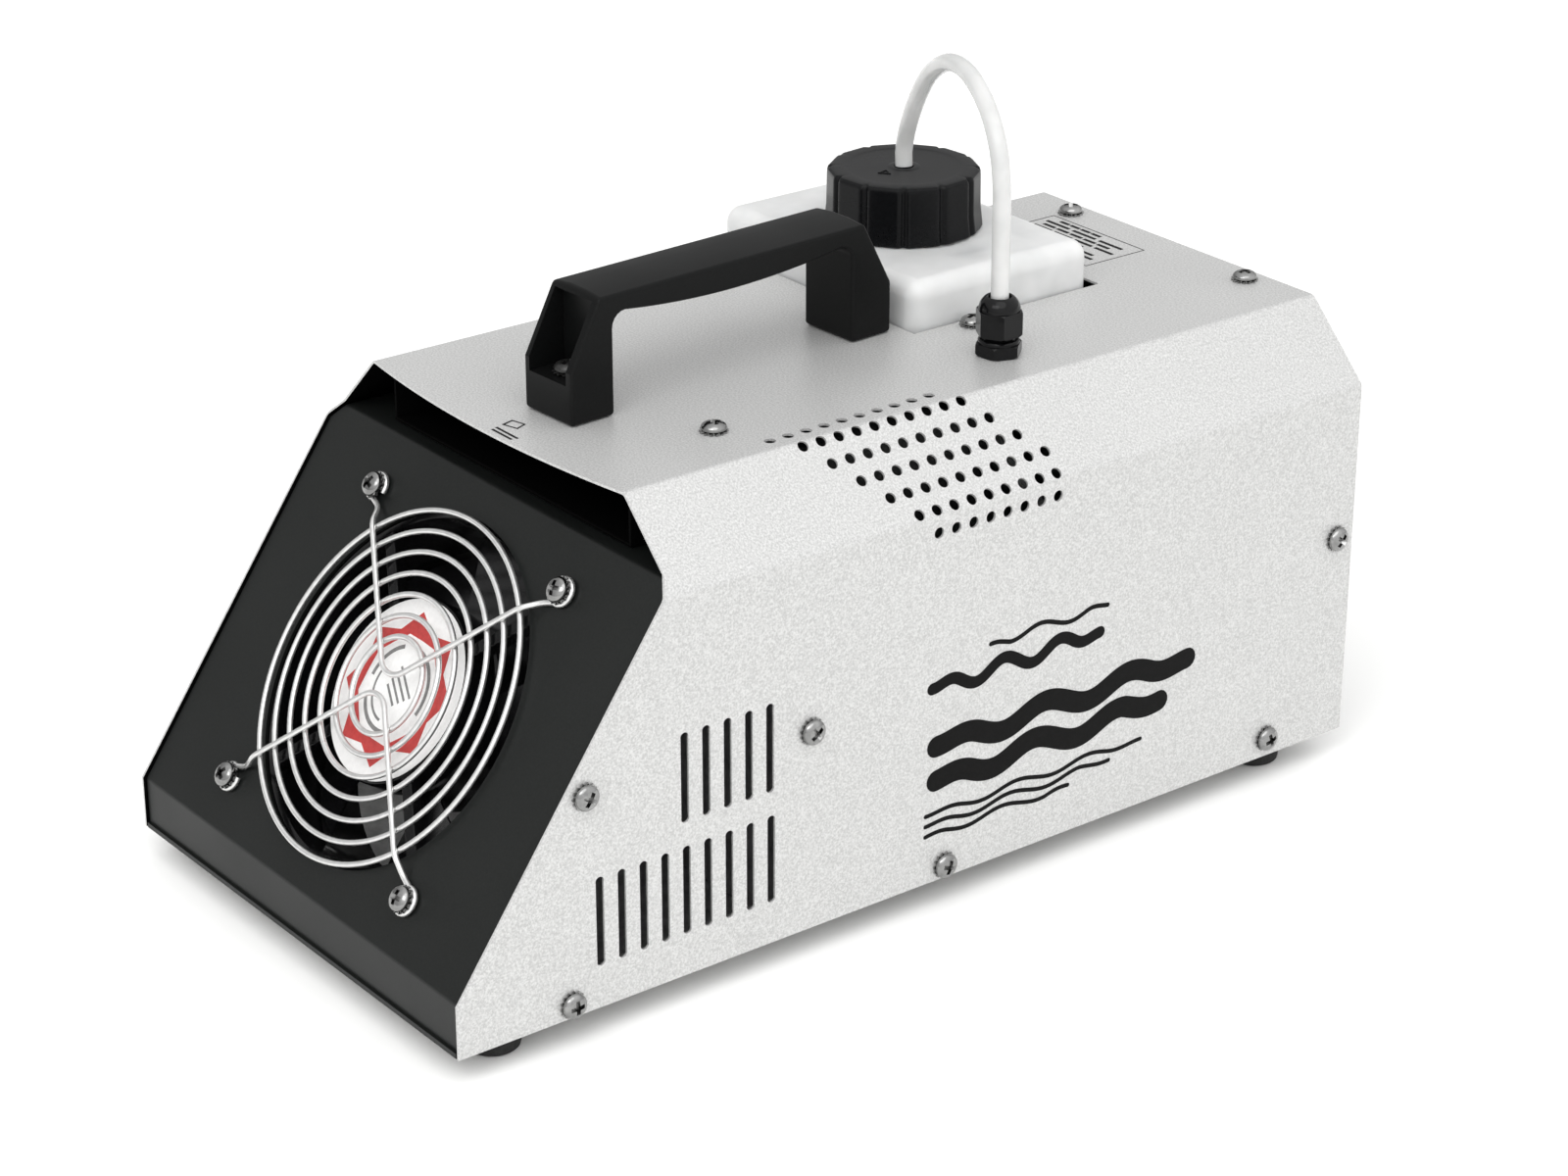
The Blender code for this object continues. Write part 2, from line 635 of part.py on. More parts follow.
def guard_strut_path(up):
    """One V-shaped wire: a loop round each screw, a rise, and a rounded point near the centre."""
    screw = math.sqrt(2) * FAN_SCREW
    rise_foot, rise_top = screw - 8 * MM, RING_RADII[0] + 1.5 * MM
    bend = 9 * MM
    centre = up * math.sqrt(2) * bend
    arm = []
    for step in range(9):
        angle = math.radians(180 + 30 + 300 * step / 8)
        arm.append((screw + EYELET_RADIUS * math.cos(angle), EYELET_RADIUS * math.sin(angle), EYELET_LIFT))
    arm = arm[::-1]
    arm += [(rise_foot, 0, EYELET_LIFT), (rise_top, 0, STRUT_LIFT), (bend + 1 * MM, 0, STRUT_LIFT)]

    def turned_arm(mirror):
        path = []
        for along, across, lift in arm:
            x = (along - across) / math.sqrt(2)
            y = (along + across) / math.sqrt(2)
            path.append(Vector((mirror * x, up * y, lift)))
        return path

    corner = []
    for step in range(7):
        angle = math.radians(-45 + 15 * (step + 0.0))
        corner.append(Vector((-bend * math.sin(angle), centre - up * bend * math.cos(angle), STRUT_LIFT)))
    return turned_arm(1) + corner + turned_arm(-1)[::-1]


def make_guard(empty, wire_metal):
    rings = []
    for radius in RING_RADII:
        path = [(x, y, RING_LIFT) for x, y in regular_outline(28, radius, start=0.1)]
        rings.append(swept("ring", path, WIRE, 5, closed=True))
    guard = add_object("fan_guard", joined("fan_guard", rings), wire_metal, parent=empty)
    for name, up in (("upper", 1), ("lower", -1)):
        tool = helper(f"guard_strut_{name}", swept("strut", guard_strut_path(up), WIRE, 6), empty)
        boolean(guard, tool, "UNION")
    mesh = screw_mesh(length=12 * MM, shank=1.9 * MM)
    lift = EYELET_LIFT + WIRE + GAP
    places = [(x, y) for y in (1, -1) for x in (-1, 1)]
    for index, (x, y) in enumerate(places, 1):
        add_object(f"guard_screw_{index}", mesh.copy(), wire_metal,
                   (x * FAN_SCREW, y * FAN_SCREW, lift), parent=empty)


# Tank, cap and hose

def rounded_box(name, low, high, radius, segments=3):
    mesh = box(name, low, high)
    work = bmesh.new()
    work.from_mesh(mesh)
    bmesh.ops.bevel(work, geom=work.edges[:], offset=radius, segments=segments, profile=0.5, affect="EDGES")
    work.to_mesh(mesh)
    work.free()
    return smooth(mesh)


def make_tank(empty, plastic):
    """A blow-moulded bottle, open at its neck. The empty is on the neck's axis at tank bottom."""
    low = Vector((TANK_LEFT - CAP_X, TANK_FRONT - CAP_DEPTH, 0))
    high = Vector((TANK_RIGHT - CAP_X, TANK_REAR - CAP_DEPTH, TANK_TOP - TANK_BOTTOM))
    height, neck = high.z, NECK_TOP - TANK_BOTTOM
    wall = Vector((TANK_WALL, TANK_WALL, TANK_WALL))
    shell = rounded_box("tank", low, high, TANK_ROUND)
    tank = add_object("tank", shell, plastic, parent=empty)
    boolean(tank, helper("tank_neck", rod("neck", NECK_RADIUS, height - 5 * MM, neck, 32), empty), "UNION")
    inside = rounded_box("tank_inside", low + wall, high - wall, TANK_ROUND - TANK_WALL)
    boolean(tank, helper("tank_inside_tool", inside, empty))
    bore = rod("neck_bore", NECK_RADIUS - TANK_WALL, height - 6 * MM, neck + 5 * MM, 32)
    boolean(tank, helper("neck_bore_tool", bore, empty))


def make_cap(empty, plastic):
    """Grip grooves run down the cap's skirt; the empty is on the axis at the tank's bottom."""
    low, high = CAP_BOTTOM - TANK_BOTTOM, CAP_TOP - TANK_BOTTOM
    top_wall, bore = 3 * MM, NECK_RADIUS + 1 * MM
    groove = 0.045

    def radius_at(angle):
        return 1 - groove * max(0.0, math.cos(CAP_GROOVES * angle)) ** 6

    profile = [(0, low), (CAP_RADIUS + 0.8 * MM, low), (CAP_RADIUS + 0.4 * MM, low + 3 * MM),
               (CAP_RADIUS, high - 1.5 * MM), (CAP_RADIUS - 1.5 * MM, high), (0, high)]
    cap = add_object("tank_cap", turned("tank_cap", profile, 72, radius_at), plastic, parent=empty)
    hollow = joined("cap_hollow", [rod("cap_bore", bore, low - 5 * MM, high - top_wall, 32)])
    boolean(cap, helper("cap_bore_tool", hollow, empty))
    hose = rod("cap_hose_hole", HOSE_RADIUS + 0.5 * MM, high - 2 * top_wall, high + 5 * MM, 16)
    boolean(cap, helper("cap_hose_tool", hose, empty))


def make_pickup_tube(empty, plastic):
    """The dip tube with the strainer at its lower end."""
    bottom, top = 8 * MM, CAP_TOP - TANK_BOTTOM - 0.5 * MM
    profile = [(0, bottom), (6 * MM, bottom), (7 * MM, bottom + 1 * MM), (7 * MM, bottom + 14 * MM),
               (5 * MM, bottom + 16 * MM), (HOSE_RADIUS, bottom + 16 * MM), (HOSE_RADIUS, top), (0, top)]
    add_object("pickup_tube", turned("pickup_tube", profile, 16), plastic, parent=empty)


def smooth_points(route, step):
    """Points at about equal steps along a Catmull-Rom curve through the route."""
    ends = [route[0] * 2 - route[1]] + route + [route[-1] * 2 - route[-2]]
    fine = []
    for index in range(len(route) - 1):
        a, b, c, d = ends[index:index + 4]
        for part in range(12):
            t = part / 12
            fine.append(0.5 * (2 * b + (c - a) * t + (2 * a - 5 * b + 4 * c - d) * t ** 2
                               + (3 * b - a - 3 * c + d) * t ** 3))
    fine.append(route[-1])
    total = sum((b - a).length for a, b in zip(fine, fine[1:]))
    count = round(total / step)
    points, travelled, target = [fine[0]], 0.0, total / count
    for a, b in zip(fine, fine[1:]):
        length = (b - a).length
        while travelled + length >= target and len(points) < count:
            points.append(a + (b - a) * ((target - travelled) / length))
            target += total / count
        travelled += length
    points.append(fine[-1])
    return points


# The free hose stands in one upright plane: (part of the way from cap to gland, height).
HOSE_ROUTE = [
    (0.0, 191.3), (0.0, 198.0), (0.06, 209.0), (0.16, 221.0), (0.28, 231.0), (0.45, 238.5), (0.62, 240.0),
    (0.76, 236.7), (0.87, 231.0), (0.95, 223.0), (0.99, 213.0), (1.0, 200.0), (1.0, 187.0), (1.0, 172.0),
]


def make_suction_hose(plastic):
    start, end = at(CAP_X, CAP_DEPTH, 0), at(GLAND_X, GLAND_DEPTH, 0)
    route = []
    for part, height in HOSE_ROUTE:
        spot = start.lerp(end, part)
        route.append(Vector((spot.x, spot.y, FOOT_HEIGHT + height * MM)))
    curve = bpy.data.curves.new("suction_hose", "CURVE")
    curve.dimensions = "3D"
    points = smooth_points(route, 5 * MM)
    spline = curve.splines.new("POLY")
    spline.points.add(len(points) - 1)
    for point, spot in zip(spline.points, points):
        point.co = (*spot, 1)
    curve.bevel_depth = HOSE_RADIUS
    curve.bevel_resolution = 2
    curve.use_fill_caps = True
    obj = bpy.data.objects.new("suction_hose", curve)
    curve.materials.append(plastic)
    bpy.context.collection.objects.link(obj)


def make_gland(plastic):
    """A cable gland: a flanged hexagon with a threaded barrel, and a domed nut screwed on it."""
    centre = at(GLAND_X, GLAND_DEPTH, HOOD_HEIGHT + GAP)
    corner = GLAND_HEX / math.sqrt(3)
    collar_height, barrel_top, bore, barrel = 4 * MM, 12 * MM, 3.8 * MM, 5.4 * MM
    profile = [(bore, -8 * MM), (barrel, -8 * MM), (barrel, barrel_top), (bore, barrel_top)]
    body = add_object("gland_body", turned("gland_body", profile, 20), plastic, centre)
    collar = prism("gland_collar", regular_outline(6, corner, start=math.radians(9)), 2, 0, collar_height)
    boolean(body, helper("gland_collar_tool", collar, place=centre), "UNION")
    hose_space = rod("gland_bore", bore, -10 * MM, 14 * MM, 20)
    boolean(body, helper("gland_bore_tool", hose_space, place=centre))

    nut_low, nut_high, dome = 6.8 * MM, 15.2 * MM, 19.8 * MM
    hexagon = prism("gland_nut", regular_outline(6, corner, start=math.radians(31)), 2, nut_low, nut_high)
    nut = add_object("gland_nut", hexagon, plastic, centre)
    dome_profile = [(0, nut_high - 2 * MM), (6.9 * MM, nut_high - 2 * MM), (6.9 * MM, nut_high + 0.4 * MM),
                    (6.4 * MM, nut_high + 2.2 * MM), (5.4 * MM, nut_high + 3.7 * MM), (4.2 * MM, dome), (0, dome)]
    boolean(nut, helper("gland_dome_tool", turned("gland_dome", dome_profile, 20), place=centre), "UNION")
    boolean(nut, helper("gland_thread_tool", rod("thread", barrel + GAP, 0, 13 * MM, 20), place=centre))
    mouth = rod("mouth", HOSE_RADIUS + 0.6 * MM, 10 * MM, 25 * MM, 16)
    boolean(nut, helper("gland_mouth_tool", mouth, place=centre))


# Handle

def handle_frame():
    return Matrix.Translation(at(HANDLE_X, HANDLE_DEPTH, HOOD_HEIGHT + GAP)) @ Matrix.Rotation(HANDLE_TWIST, 4, "Z")


def handle_screw_places():
    return [handle_frame() @ Vector((0, way * HANDLE_HOLES / 2, HANDLE_SILL + GAP)) for way in (-1, 1)]


def make_handle(plastic, metal):
    """A bridge handle whose sloped ends are open pockets over the two screws."""
    half, leg = HANDLE_LENGTH / 2, HANDLE_LEG
    cheek, slope = 17.5 * MM, 11.7 * MM
    under, middle_under, fillet = 33.5 * MM, 30.3 * MM, 4 * MM
    outline = [(-half, 0), (-half, cheek), (-half + slope, HANDLE_HEIGHT), (half - slope, HANDLE_HEIGHT),
               (half, cheek), (half, 0), (half - leg, 0), (half - leg, under - fillet)]
    for step in range(9):
        part = step / 8
        y = (half - leg - fillet) * (1 - 2 * part)
        outline.append((y, middle_under + (under - middle_under) * (2 * part - 1) ** 2))
    outline += [(leg - half, under - fillet), (leg - half, 0)]
    mesh = prism("handle", outline, 0, -HANDLE_WIDTH / 2, HANDLE_WIDTH / 2)
    handle = add_object("handle", mesh, plastic)
    handle.matrix_basis = handle_frame()
    round_edges(handle, 1.2 * MM)
    cheek_wall, inner_wall, skin = 2.8 * MM, 3 * MM, 2.2 * MM
    pocket_half = HANDLE_WIDTH / 2 - cheek_wall
    shapes = []
    for way in (-1, 1):
        near, far = sorted((way * (half + 3 * MM), way * (half - leg + inner_wall)))
        shapes.append(box("pocket", (-pocket_half, near, HANDLE_SILL), (pocket_half, far, HANDLE_HEIGHT - skin)))
        shapes.append(rod("bolt_hole", 2.8 * MM, -5 * MM, HANDLE_SILL - 0.5 * MM, 12, (0, way * HANDLE_HOLES / 2)))
    tool = helper("handle_pocket_tool", joined("pockets", shapes[0::2]))
    tool.matrix_basis = handle_frame()
    boolean(handle, tool)
    holes = [rod("bolt_hole", 2.8 * MM, -5 * MM, HANDLE_SILL + 3 * MM, 12, (0, way * HANDLE_HOLES / 2))
             for way in (-1, 1)]
    tool = helper("handle_hole_tool", joined("bolt_holes", holes))
    tool.matrix_basis = handle_frame()
    boolean(handle, tool)
    screw = screw_mesh(length=14.5 * MM, shank=2.4 * MM, head=4.4 * MM, rise=3.6 * MM)
    for index, place in enumerate(handle_screw_places(), 1):
        add_object(f"handle_screw_{index}", screw.copy(), metal, place)


# Fluid system and electronics

def make_heater(metal):
    """The heater block with its outlet pipe and the supply line brazed into its rear."""
    block = box("heater_block", at(14 * MM, 142 * MM, 112 * MM), at(66 * MM, 230 * MM, 146 * MM))
    heater = add_object("heater_block", block, metal)
    round_edges(heater, 1.5 * MM, 1)
    centre = at(PIPE_X, 0, PIPE_HEIGHT - 6 * MM)
    outline = regular_outline(16, 4.5 * MM, (centre.x, centre.z + 6 * MM))
    pipe = prism("outlet_pipe", outline, 1, FRONT_Y + 104 * MM, FRONT_Y + 150 * MM)
    boolean(heater, helper("outlet_pipe_tool", pipe), "UNION")
    bore = prism("pipe_bore", regular_outline(12, 2 * MM, (centre.x, centre.z + 6 * MM)), 1,
                 FRONT_Y + 100 * MM, FRONT_Y + 146 * MM)
    boolean(heater, helper("pipe_bore_tool", bore))
    pump_front = PUMP_DEPTH - 30 * MM
    supply = [at(PUMP_X, pump_front - GAP, PUMP_HEIGHT), at(PUMP_X, pump_front - 10 * MM, PUMP_HEIGHT),
              at(55 * MM, 240 * MM, 34 * MM), at(46 * MM, 236.5 * MM, 60 * MM),
              at(40 * MM, 240 * MM, 95 * MM), at(38 * MM, 240 * MM, 120 * MM),
              at(38 * MM, 236 * MM, 128 * MM), at(38 * MM, 226 * MM, 129 * MM)]
    line = swept("supply_line", smooth_points(supply, 6 * MM), 2 * MM, 8)
    boolean(heater, helper("supply_line_tool", line), "UNION")


def make_pump(metal, steel):
    """An oscillating piston pump lying along the machine, with its plunger in an open bore."""
    centre = at(PUMP_X, PUMP_DEPTH, PUMP_HEIGHT)
    turn = Matrix.Rotation(math.radians(90), 4, "X")
    yoke = box("pump_body", (-17 * MM, -17 * MM, -20 * MM), (17 * MM, 17 * MM, 20 * MM))
    pump = add_object("pump_body", yoke, metal, centre, turn=turn)
    round_edges(pump, 2 * MM, 1)
    barrel = helper("pump_barrel_tool", rod("barrel", 9 * MM, -34 * MM, 30 * MM, 20), None, centre, turn)
    boolean(pump, barrel, "UNION")
    bore = helper("pump_bore_tool", rod("bore", 5 * MM, -40 * MM, 10 * MM, 20), None, centre, turn)
    boolean(pump, bore)
    add_object("pump_plunger", rod("pump_plunger", 4.5 * MM, -38 * MM, 4 * MM, 20), steel, centre, turn=turn)


def make_feed_line(plastic):
    route = [at(GLAND_X, GLAND_DEPTH, 145.0 * MM), at(GLAND_X, GLAND_DEPTH, 130 * MM),
             at(56 * MM, 252 * MM, 108 * MM), at(74 * MM, 268 * MM, 80 * MM),
             at(80 * MM, 286 * MM, 62 * MM), at(74 * MM, 300 * MM, 56 * MM), at(67 * MM, 300 * MM, 51 * MM),
             at(62 * MM, 298 * MM, 45 * MM)]
    add_object("feed_line", swept("feed_line", smooth_points(route, 6 * MM), 2.6 * MM, 8), plastic)


def make_control_board(board_paint):
    depth = 352 * MM
    plate = box("control_board", at(-48 * MM, depth, 62 * MM), at(48 * MM, depth + 1.6 * MM, 128 * MM))
    board = add_object("control_board", plate, board_paint)
    blocks = [(-40, -22, 70, 92, 16), (-14, 8, 96, 118, 10), (16, 40, 68, 80, 20), (18, 30, 92, 116, 13)]
    shapes = [box("component", at(x0 * MM, depth - reach * MM, z0 * MM), at(x1 * MM, depth + 0.8 * MM, z1 * MM))
              for x0, x1, z0, z1, reach in blocks]
    boolean(board, helper("board_component_tool", joined("components", shapes)), "UNION")


# Rear fittings, modelled facing +Z and then turned to face the rear

def rear_turn():
    return Matrix.Rotation(math.pi, 4, "Z") @ Matrix.Rotation(math.radians(90), 4, "X")


def rear_place(spot, out=GAP):
    return at(spot[0], REAR_PLATE_DEPTH + out, spot[1])


def rear_helper(name, mesh, spot, out=GAP):
    return helper(name, mesh, place=rear_place(spot, out), turn=rear_turn())


def rear_object(name, mesh, material, spot, out=GAP):
    return add_object(name, mesh, material, rear_place(spot, out), turn=rear_turn())


def rear_cutout_tool():
    def cut(shape, spot):
        shape.transform(Matrix.Translation(rear_place(spot)) @ rear_turn())
        return shape

    deep, proud = -5 * MM, 3 * MM
    shapes = [
        cut(box("inlet", (-14 * MM, -23.5 * MM, deep), (14 * MM, 23.5 * MM, proud)), INLET_AT),
        cut(box("switch", (-7 * MM, -10 * MM, deep), (7 * MM, 10 * MM, proud)), SWITCH_AT),
        cut(rod("xlr", 12 * MM, deep, proud, 24), XLR_IN_AT),
        cut(rod("xlr", 12 * MM, deep, proud, 24), XLR_OUT_AT),
        cut(box("display", (-25.5 * MM, -8.5 * MM, deep), (25.5 * MM, 8.5 * MM, proud)), DISPLAY_AT),
    ]
    for spot in button_spots():
        shapes.append(cut(rod("button", BUTTON_RADIUS + 0.4 * MM, deep, proud, 16), spot))
    return helper("rear_cutout_tool", joined("rear_cutouts", shapes))


def button_spots():
    middle = (len(BUTTON_NAMES) - 1) / 2
    return [((index - middle) * BUTTON_STEP, BUTTON_HEIGHT) for index in range(len(BUTTON_NAMES))]


def make_power_inlet(plastic, metal):
    """A mains inlet with a three-pin socket below and a drawer for the fuse above."""
    socket_low, socket_high, socket_deep = -19 * MM, -2.5 * MM, -17 * MM
    body = rear_object("power_inlet", box("power_inlet", (-15.5 * MM, -25 * MM, 0), (15.5 * MM, 25 * MM, 2 * MM)),
                       plastic, INLET_AT)
    rear_body = box("inlet_body", (-13.6 * MM, -23 * MM, -22 * MM), (13.6 * MM, 23 * MM, 1 * MM))
    boolean(body, rear_helper("inlet_body_tool", rear_body, INLET_AT), "UNION")
    outline = [(-12 * MM, socket_low), (12 * MM, socket_low), (12 * MM, socket_high - 4 * MM),
               (8 * MM, socket_high), (-8 * MM, socket_high), (-12 * MM, socket_high - 4 * MM)]
    spaces = [prism("socket", outline, 2, socket_deep, 5 * MM),
              box("drawer_space", (-10 * MM, 4 * MM, -18 * MM), (10 * MM, 13.5 * MM, 5 * MM))]
    boolean(body, rear_helper("inlet_space_tool", joined("inlet_spaces", spaces), INLET_AT))
    pins = [box("pin", (x - 0.8 * MM, y - 2 * MM, socket_deep - 2 * MM), (x + 0.8 * MM, y + 2 * MM, -7 * MM))
            for x, y in ((-7 * MM, -12 * MM), (0, -8 * MM), (7 * MM, -12 * MM))]
    boolean(body, rear_helper("inlet_pin_tool", joined("pins", pins), INLET_AT), "UNION")
    drawer = box("fuse_drawer", (-9.5 * MM, 4.5 * MM, -16 * MM), (9.5 * MM, 13 * MM, 2.4 * MM))
    fuse = rear_object("fuse_drawer", drawer, plastic, INLET_AT)
    hollow = box("fuse_space", (-6 * MM, 6.5 * MM, -17 * MM), (6 * MM, 11 * MM, -2 * MM))
    boolean(fuse, rear_helper("fuse_space_tool", hollow, INLET_AT))


def make_power_switch(plastic, rocker_plastic):
    housing = rear_object("switch_housing", box("switch_housing", (-8 * MM, -11 * MM, 0), (8 * MM, 11 * MM, 1.5 * MM)),
                          plastic, SWITCH_AT)
    inner = box("switch_body", (-6.6 * MM, -9.6 * MM, -14 * MM), (6.6 * MM, 9.6 * MM, 1 * MM))
    boolean(housing, rear_helper("switch_body_tool", inner, SWITCH_AT), "UNION")
    space = box("rocker_space", (-5.2 * MM, -8.8 * MM, -8 * MM), (5.2 * MM, 8.8 * MM, 5 * MM))
    boolean(housing, rear_helper("rocker_space_tool", space, SWITCH_AT))
    # The rocker is drawn at rest with its lower end pressed in, and turns about X through its origin.
    axis_depth = -2.5 * MM
    outline = [(-8 * MM, -1.2 * MM), (-7.4 * MM, 2.0 * MM), (0, 2.6 * MM), (7.4 * MM, 4.4 * MM),
               (8 * MM, 1.6 * MM), (5.5 * MM, -2.5 * MM), (0, -3.4 * MM), (-5.5 * MM, -3.4 * MM)]
    add_object("power_rocker", prism("power_rocker", outline, 0, -4.8 * MM, 4.8 * MM), rocker_plastic,
               rear_place(SWITCH_AT, GAP + axis_depth), turn=rear_turn())


def make_xlr(name, spot, metal, male):
    """A round three-pole audio socket on a rectangular flange."""
    depth = 20 * MM
    plate = box(name, (-13 * MM, -15.5 * MM, 0), (13 * MM, 15.5 * MM, 1.8 * MM))
    body = rear_object(name, plate, metal, spot)
    boolean(body, rear_helper(f"{name}_barrel_tool", rod("barrel", 11.5 * MM, -depth, 1 * MM, 24), spot), "UNION")
    angles = (math.radians(150), math.radians(30), math.radians(270))
    poles = [(4.2 * MM * math.cos(angle), 4.2 * MM * math.sin(angle)) for angle in angles]
    if male:
        boolean(body, rear_helper(f"{name}_space_tool", rod("space", 9.5 * MM, -14 * MM, 5 * MM, 24), spot))
        pins = [rod("pin", 1.2 * MM, -16 * MM, -5 * MM, 8, pole) for pole in poles]
        boolean(body, rear_helper(f"{name}_pin_tool", joined("pins", pins), spot), "UNION")
    else:
        ring = turned("ring", [(8.2 * MM, -8 * MM), (9.6 * MM, -8 * MM), (9.6 * MM, 5 * MM), (8.2 * MM, 5 * MM)], 24)
        boolean(body, rear_helper(f"{name}_space_tool", ring, spot))
        holes = [rod("hole", 1.4 * MM, -12 * MM, 5 * MM, 8, pole) for pole in poles]
        boolean(body, rear_helper(f"{name}_hole_tool", joined("holes", holes), spot))


def make_menu(bezel_plastic, button_plastic):
    """The display with its frame, and the four sprung menu buttons below it."""
    frame = box("display", (-28 * MM, -11 * MM, 0), (28 * MM, 11 * MM, 1.5 * MM))
    display = rear_object("display", frame, bezel_plastic, DISPLAY_AT)
    body = box("display_body", (-25 * MM, -8 * MM, -10 * MM), (25 * MM, 8 * MM, 1 * MM))
    boolean(display, rear_helper("display_body_tool", body, DISPLAY_AT), "UNION")
    window = box("window", (-22 * MM, -6.5 * MM, 0.7 * MM), (22 * MM, 6.5 * MM, 5 * MM))
    boolean(display, rear_helper("display_window_tool", window, DISPLAY_AT))
    profile = [(0, -9 * MM), (2 * MM, -9 * MM), (2 * MM, -3.5 * MM), (5.2 * MM, -3.5 * MM), (5.2 * MM, -2.2 * MM),
               (BUTTON_RADIUS, -2.2 * MM), (BUTTON_RADIUS, 1.6 * MM), (3.4 * MM, 2.2 * MM), (0, 2.2 * MM)]
    mesh = turned("button", profile, 16)
    for name, spot in zip(BUTTON_NAMES, button_spots()):
        rear_object(f"button_{name}", mesh.copy(), button_plastic, spot, 0)


def main():
    clear_scene()
    silver = make_material("silver_paint", (0.70, 0.70, 0.69), 0.45, 0.3)
    black_paint = make_material("black_paint", (0.016, 0.018, 0.017), 0.5)
    zinc = make_material("zinc_sheet", (0.55, 0.55, 0.55), 0.4, 0.8)
    chrome = make_material("chrome", (0.75, 0.75, 0.75), 0.2, 1.0)
    cast_metal = make_material("cast_metal", (0.45, 0.45, 0.46), 0.5, 0.9)
    black_plastic = make_material("black_plastic", (0.01, 0.01, 0.011), 0.4)
    rotor_plastic = make_material("rotor_plastic", (0.012, 0.012, 0.013), 0.35)
    rubber = make_material("rubber", (0.02, 0.02, 0.02), 0.8)
    milky = make_material("milky_plastic", (0.82, 0.82, 0.80), 0.35)
    hose_plastic = make_material("hose_plastic", (0.85, 0.85, 0.84), 0.25)
    board_green = make_material("board", (0.02, 0.12, 0.05), 0.5)
    grey_plastic = make_material("grey_plastic", (0.2, 0.2, 0.2), 0.4)

    slant_spot = Vector((0, 0, LIP_HEIGHT)) + SLANT * FAN_ALONG_SLANT - OUTWARD * PANEL_RECESS
    fan_axis = make_empty("fan_axis", at(0, slant_spot.y, slant_spot.z), Matrix.Rotation(SLANT_ANGLE, 4, "X"))
    tank_axis = make_empty("tank_axis", at(CAP_X, CAP_DEPTH, TANK_BOTTOM))

    screw_holes = screw_hole_tool()
    pipe_hole = pipe_hole_tool()
    make_hood(silver, screw_holes)
    make_base_tray(zinc, screw_holes)
    make_front_panel(black_paint, screw_holes, fan_axis)
    make_closing_plate("rear_panel", REAR_PLATE_DEPTH, -1, 0, black_paint, (screw_holes, rear_cutout_tool()))
    make_closing_plate("bulkhead", BULKHEAD_DEPTH, 1, 2 * MM, zinc, (screw_holes, pipe_hole))
    make_tank_shelf(zinc)
    make_outlet_duct(black_paint, pipe_hole)
    make_body_screws(chrome)
    make_feet(rubber)
    make_fan(fan_axis, black_paint, rotor_plastic)
    make_guard(fan_axis, chrome)
    make_tank(tank_axis, milky)
    make_cap(tank_axis, black_plastic)
    make_pickup_tube(tank_axis, hose_plastic)
    make_suction_hose(hose_plastic)
    make_gland(black_plastic)
    make_handle(black_plastic, chrome)
    make_heater(cast_metal)
    make_pump(cast_metal, chrome)
    make_feed_line(hose_plastic)
    make_control_board(board_green)
    make_power_inlet(black_plastic, chrome)
    make_power_switch(black_plastic, grey_plastic)
    make_xlr("xlr_in", XLR_IN_AT, chrome, male=True)
    make_xlr("xlr_out", XLR_OUT_AT, chrome, male=False)
    make_menu(black_plastic, grey_plastic)


main()
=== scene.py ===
"""Looks of a compact fog machine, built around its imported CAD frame.

Shapes are drawn in millimetres in the machine's own frame: x from the centre plane, depth from
the front lip towards the rear, height from the hood's lower edge. piece() turns them into metres."""

import math

import bmesh
import bpy
from mathutils import Matrix, Vector


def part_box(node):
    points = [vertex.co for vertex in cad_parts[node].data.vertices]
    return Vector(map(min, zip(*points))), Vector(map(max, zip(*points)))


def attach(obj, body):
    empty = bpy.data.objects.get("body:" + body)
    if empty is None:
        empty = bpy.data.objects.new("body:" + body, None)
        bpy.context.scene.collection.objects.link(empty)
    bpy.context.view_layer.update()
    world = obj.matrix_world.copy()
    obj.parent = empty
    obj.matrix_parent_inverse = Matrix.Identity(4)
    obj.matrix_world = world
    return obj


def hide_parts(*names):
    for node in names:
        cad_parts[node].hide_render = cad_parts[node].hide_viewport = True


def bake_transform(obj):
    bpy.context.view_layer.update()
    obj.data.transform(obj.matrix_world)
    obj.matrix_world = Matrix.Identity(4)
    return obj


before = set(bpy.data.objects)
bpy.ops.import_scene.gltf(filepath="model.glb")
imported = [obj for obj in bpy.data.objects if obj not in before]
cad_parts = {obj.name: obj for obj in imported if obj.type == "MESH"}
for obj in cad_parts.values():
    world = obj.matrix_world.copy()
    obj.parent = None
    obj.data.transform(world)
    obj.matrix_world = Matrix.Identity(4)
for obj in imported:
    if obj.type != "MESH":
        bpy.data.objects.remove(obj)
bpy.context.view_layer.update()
hood_low, hood_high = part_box("hood")

MM = 0.001
MACHINE = Matrix.Translation((0, hood_low.y, hood_low.z)) @ Matrix.Scale(MM, 4)
TO_MACHINE = MACHINE.inverted()
HALF = hood_high.x / MM
LENGTH = (hood_high.y - hood_low.y) / MM
TOP = (hood_high.z - hood_low.z) / MM
SHOULDER = 25
SIDE_TOP = TOP - SHOULDER
TOP_HALF = HALF - SHOULDER
LIP = 18
FRONT_DEPTH, FRONT_TOP = 81, 134
BOW = 5.5
FAN_ALONG_SLANT = 69.9
PANEL_RECESS = 1.0
SLANT = Vector((0, FRONT_DEPTH, FRONT_TOP - LIP)).normalized()
OUTWARD = Vector((0, -SLANT.z, SLANT.y))
FAN_FRAME = (Matrix.Translation(Vector((0, 0, LIP)) + SLANT * FAN_ALONG_SLANT - OUTWARD * PANEL_RECESS)
             @ Matrix.Rotation(math.atan2(SLANT.z, SLANT.y), 4, "X"))


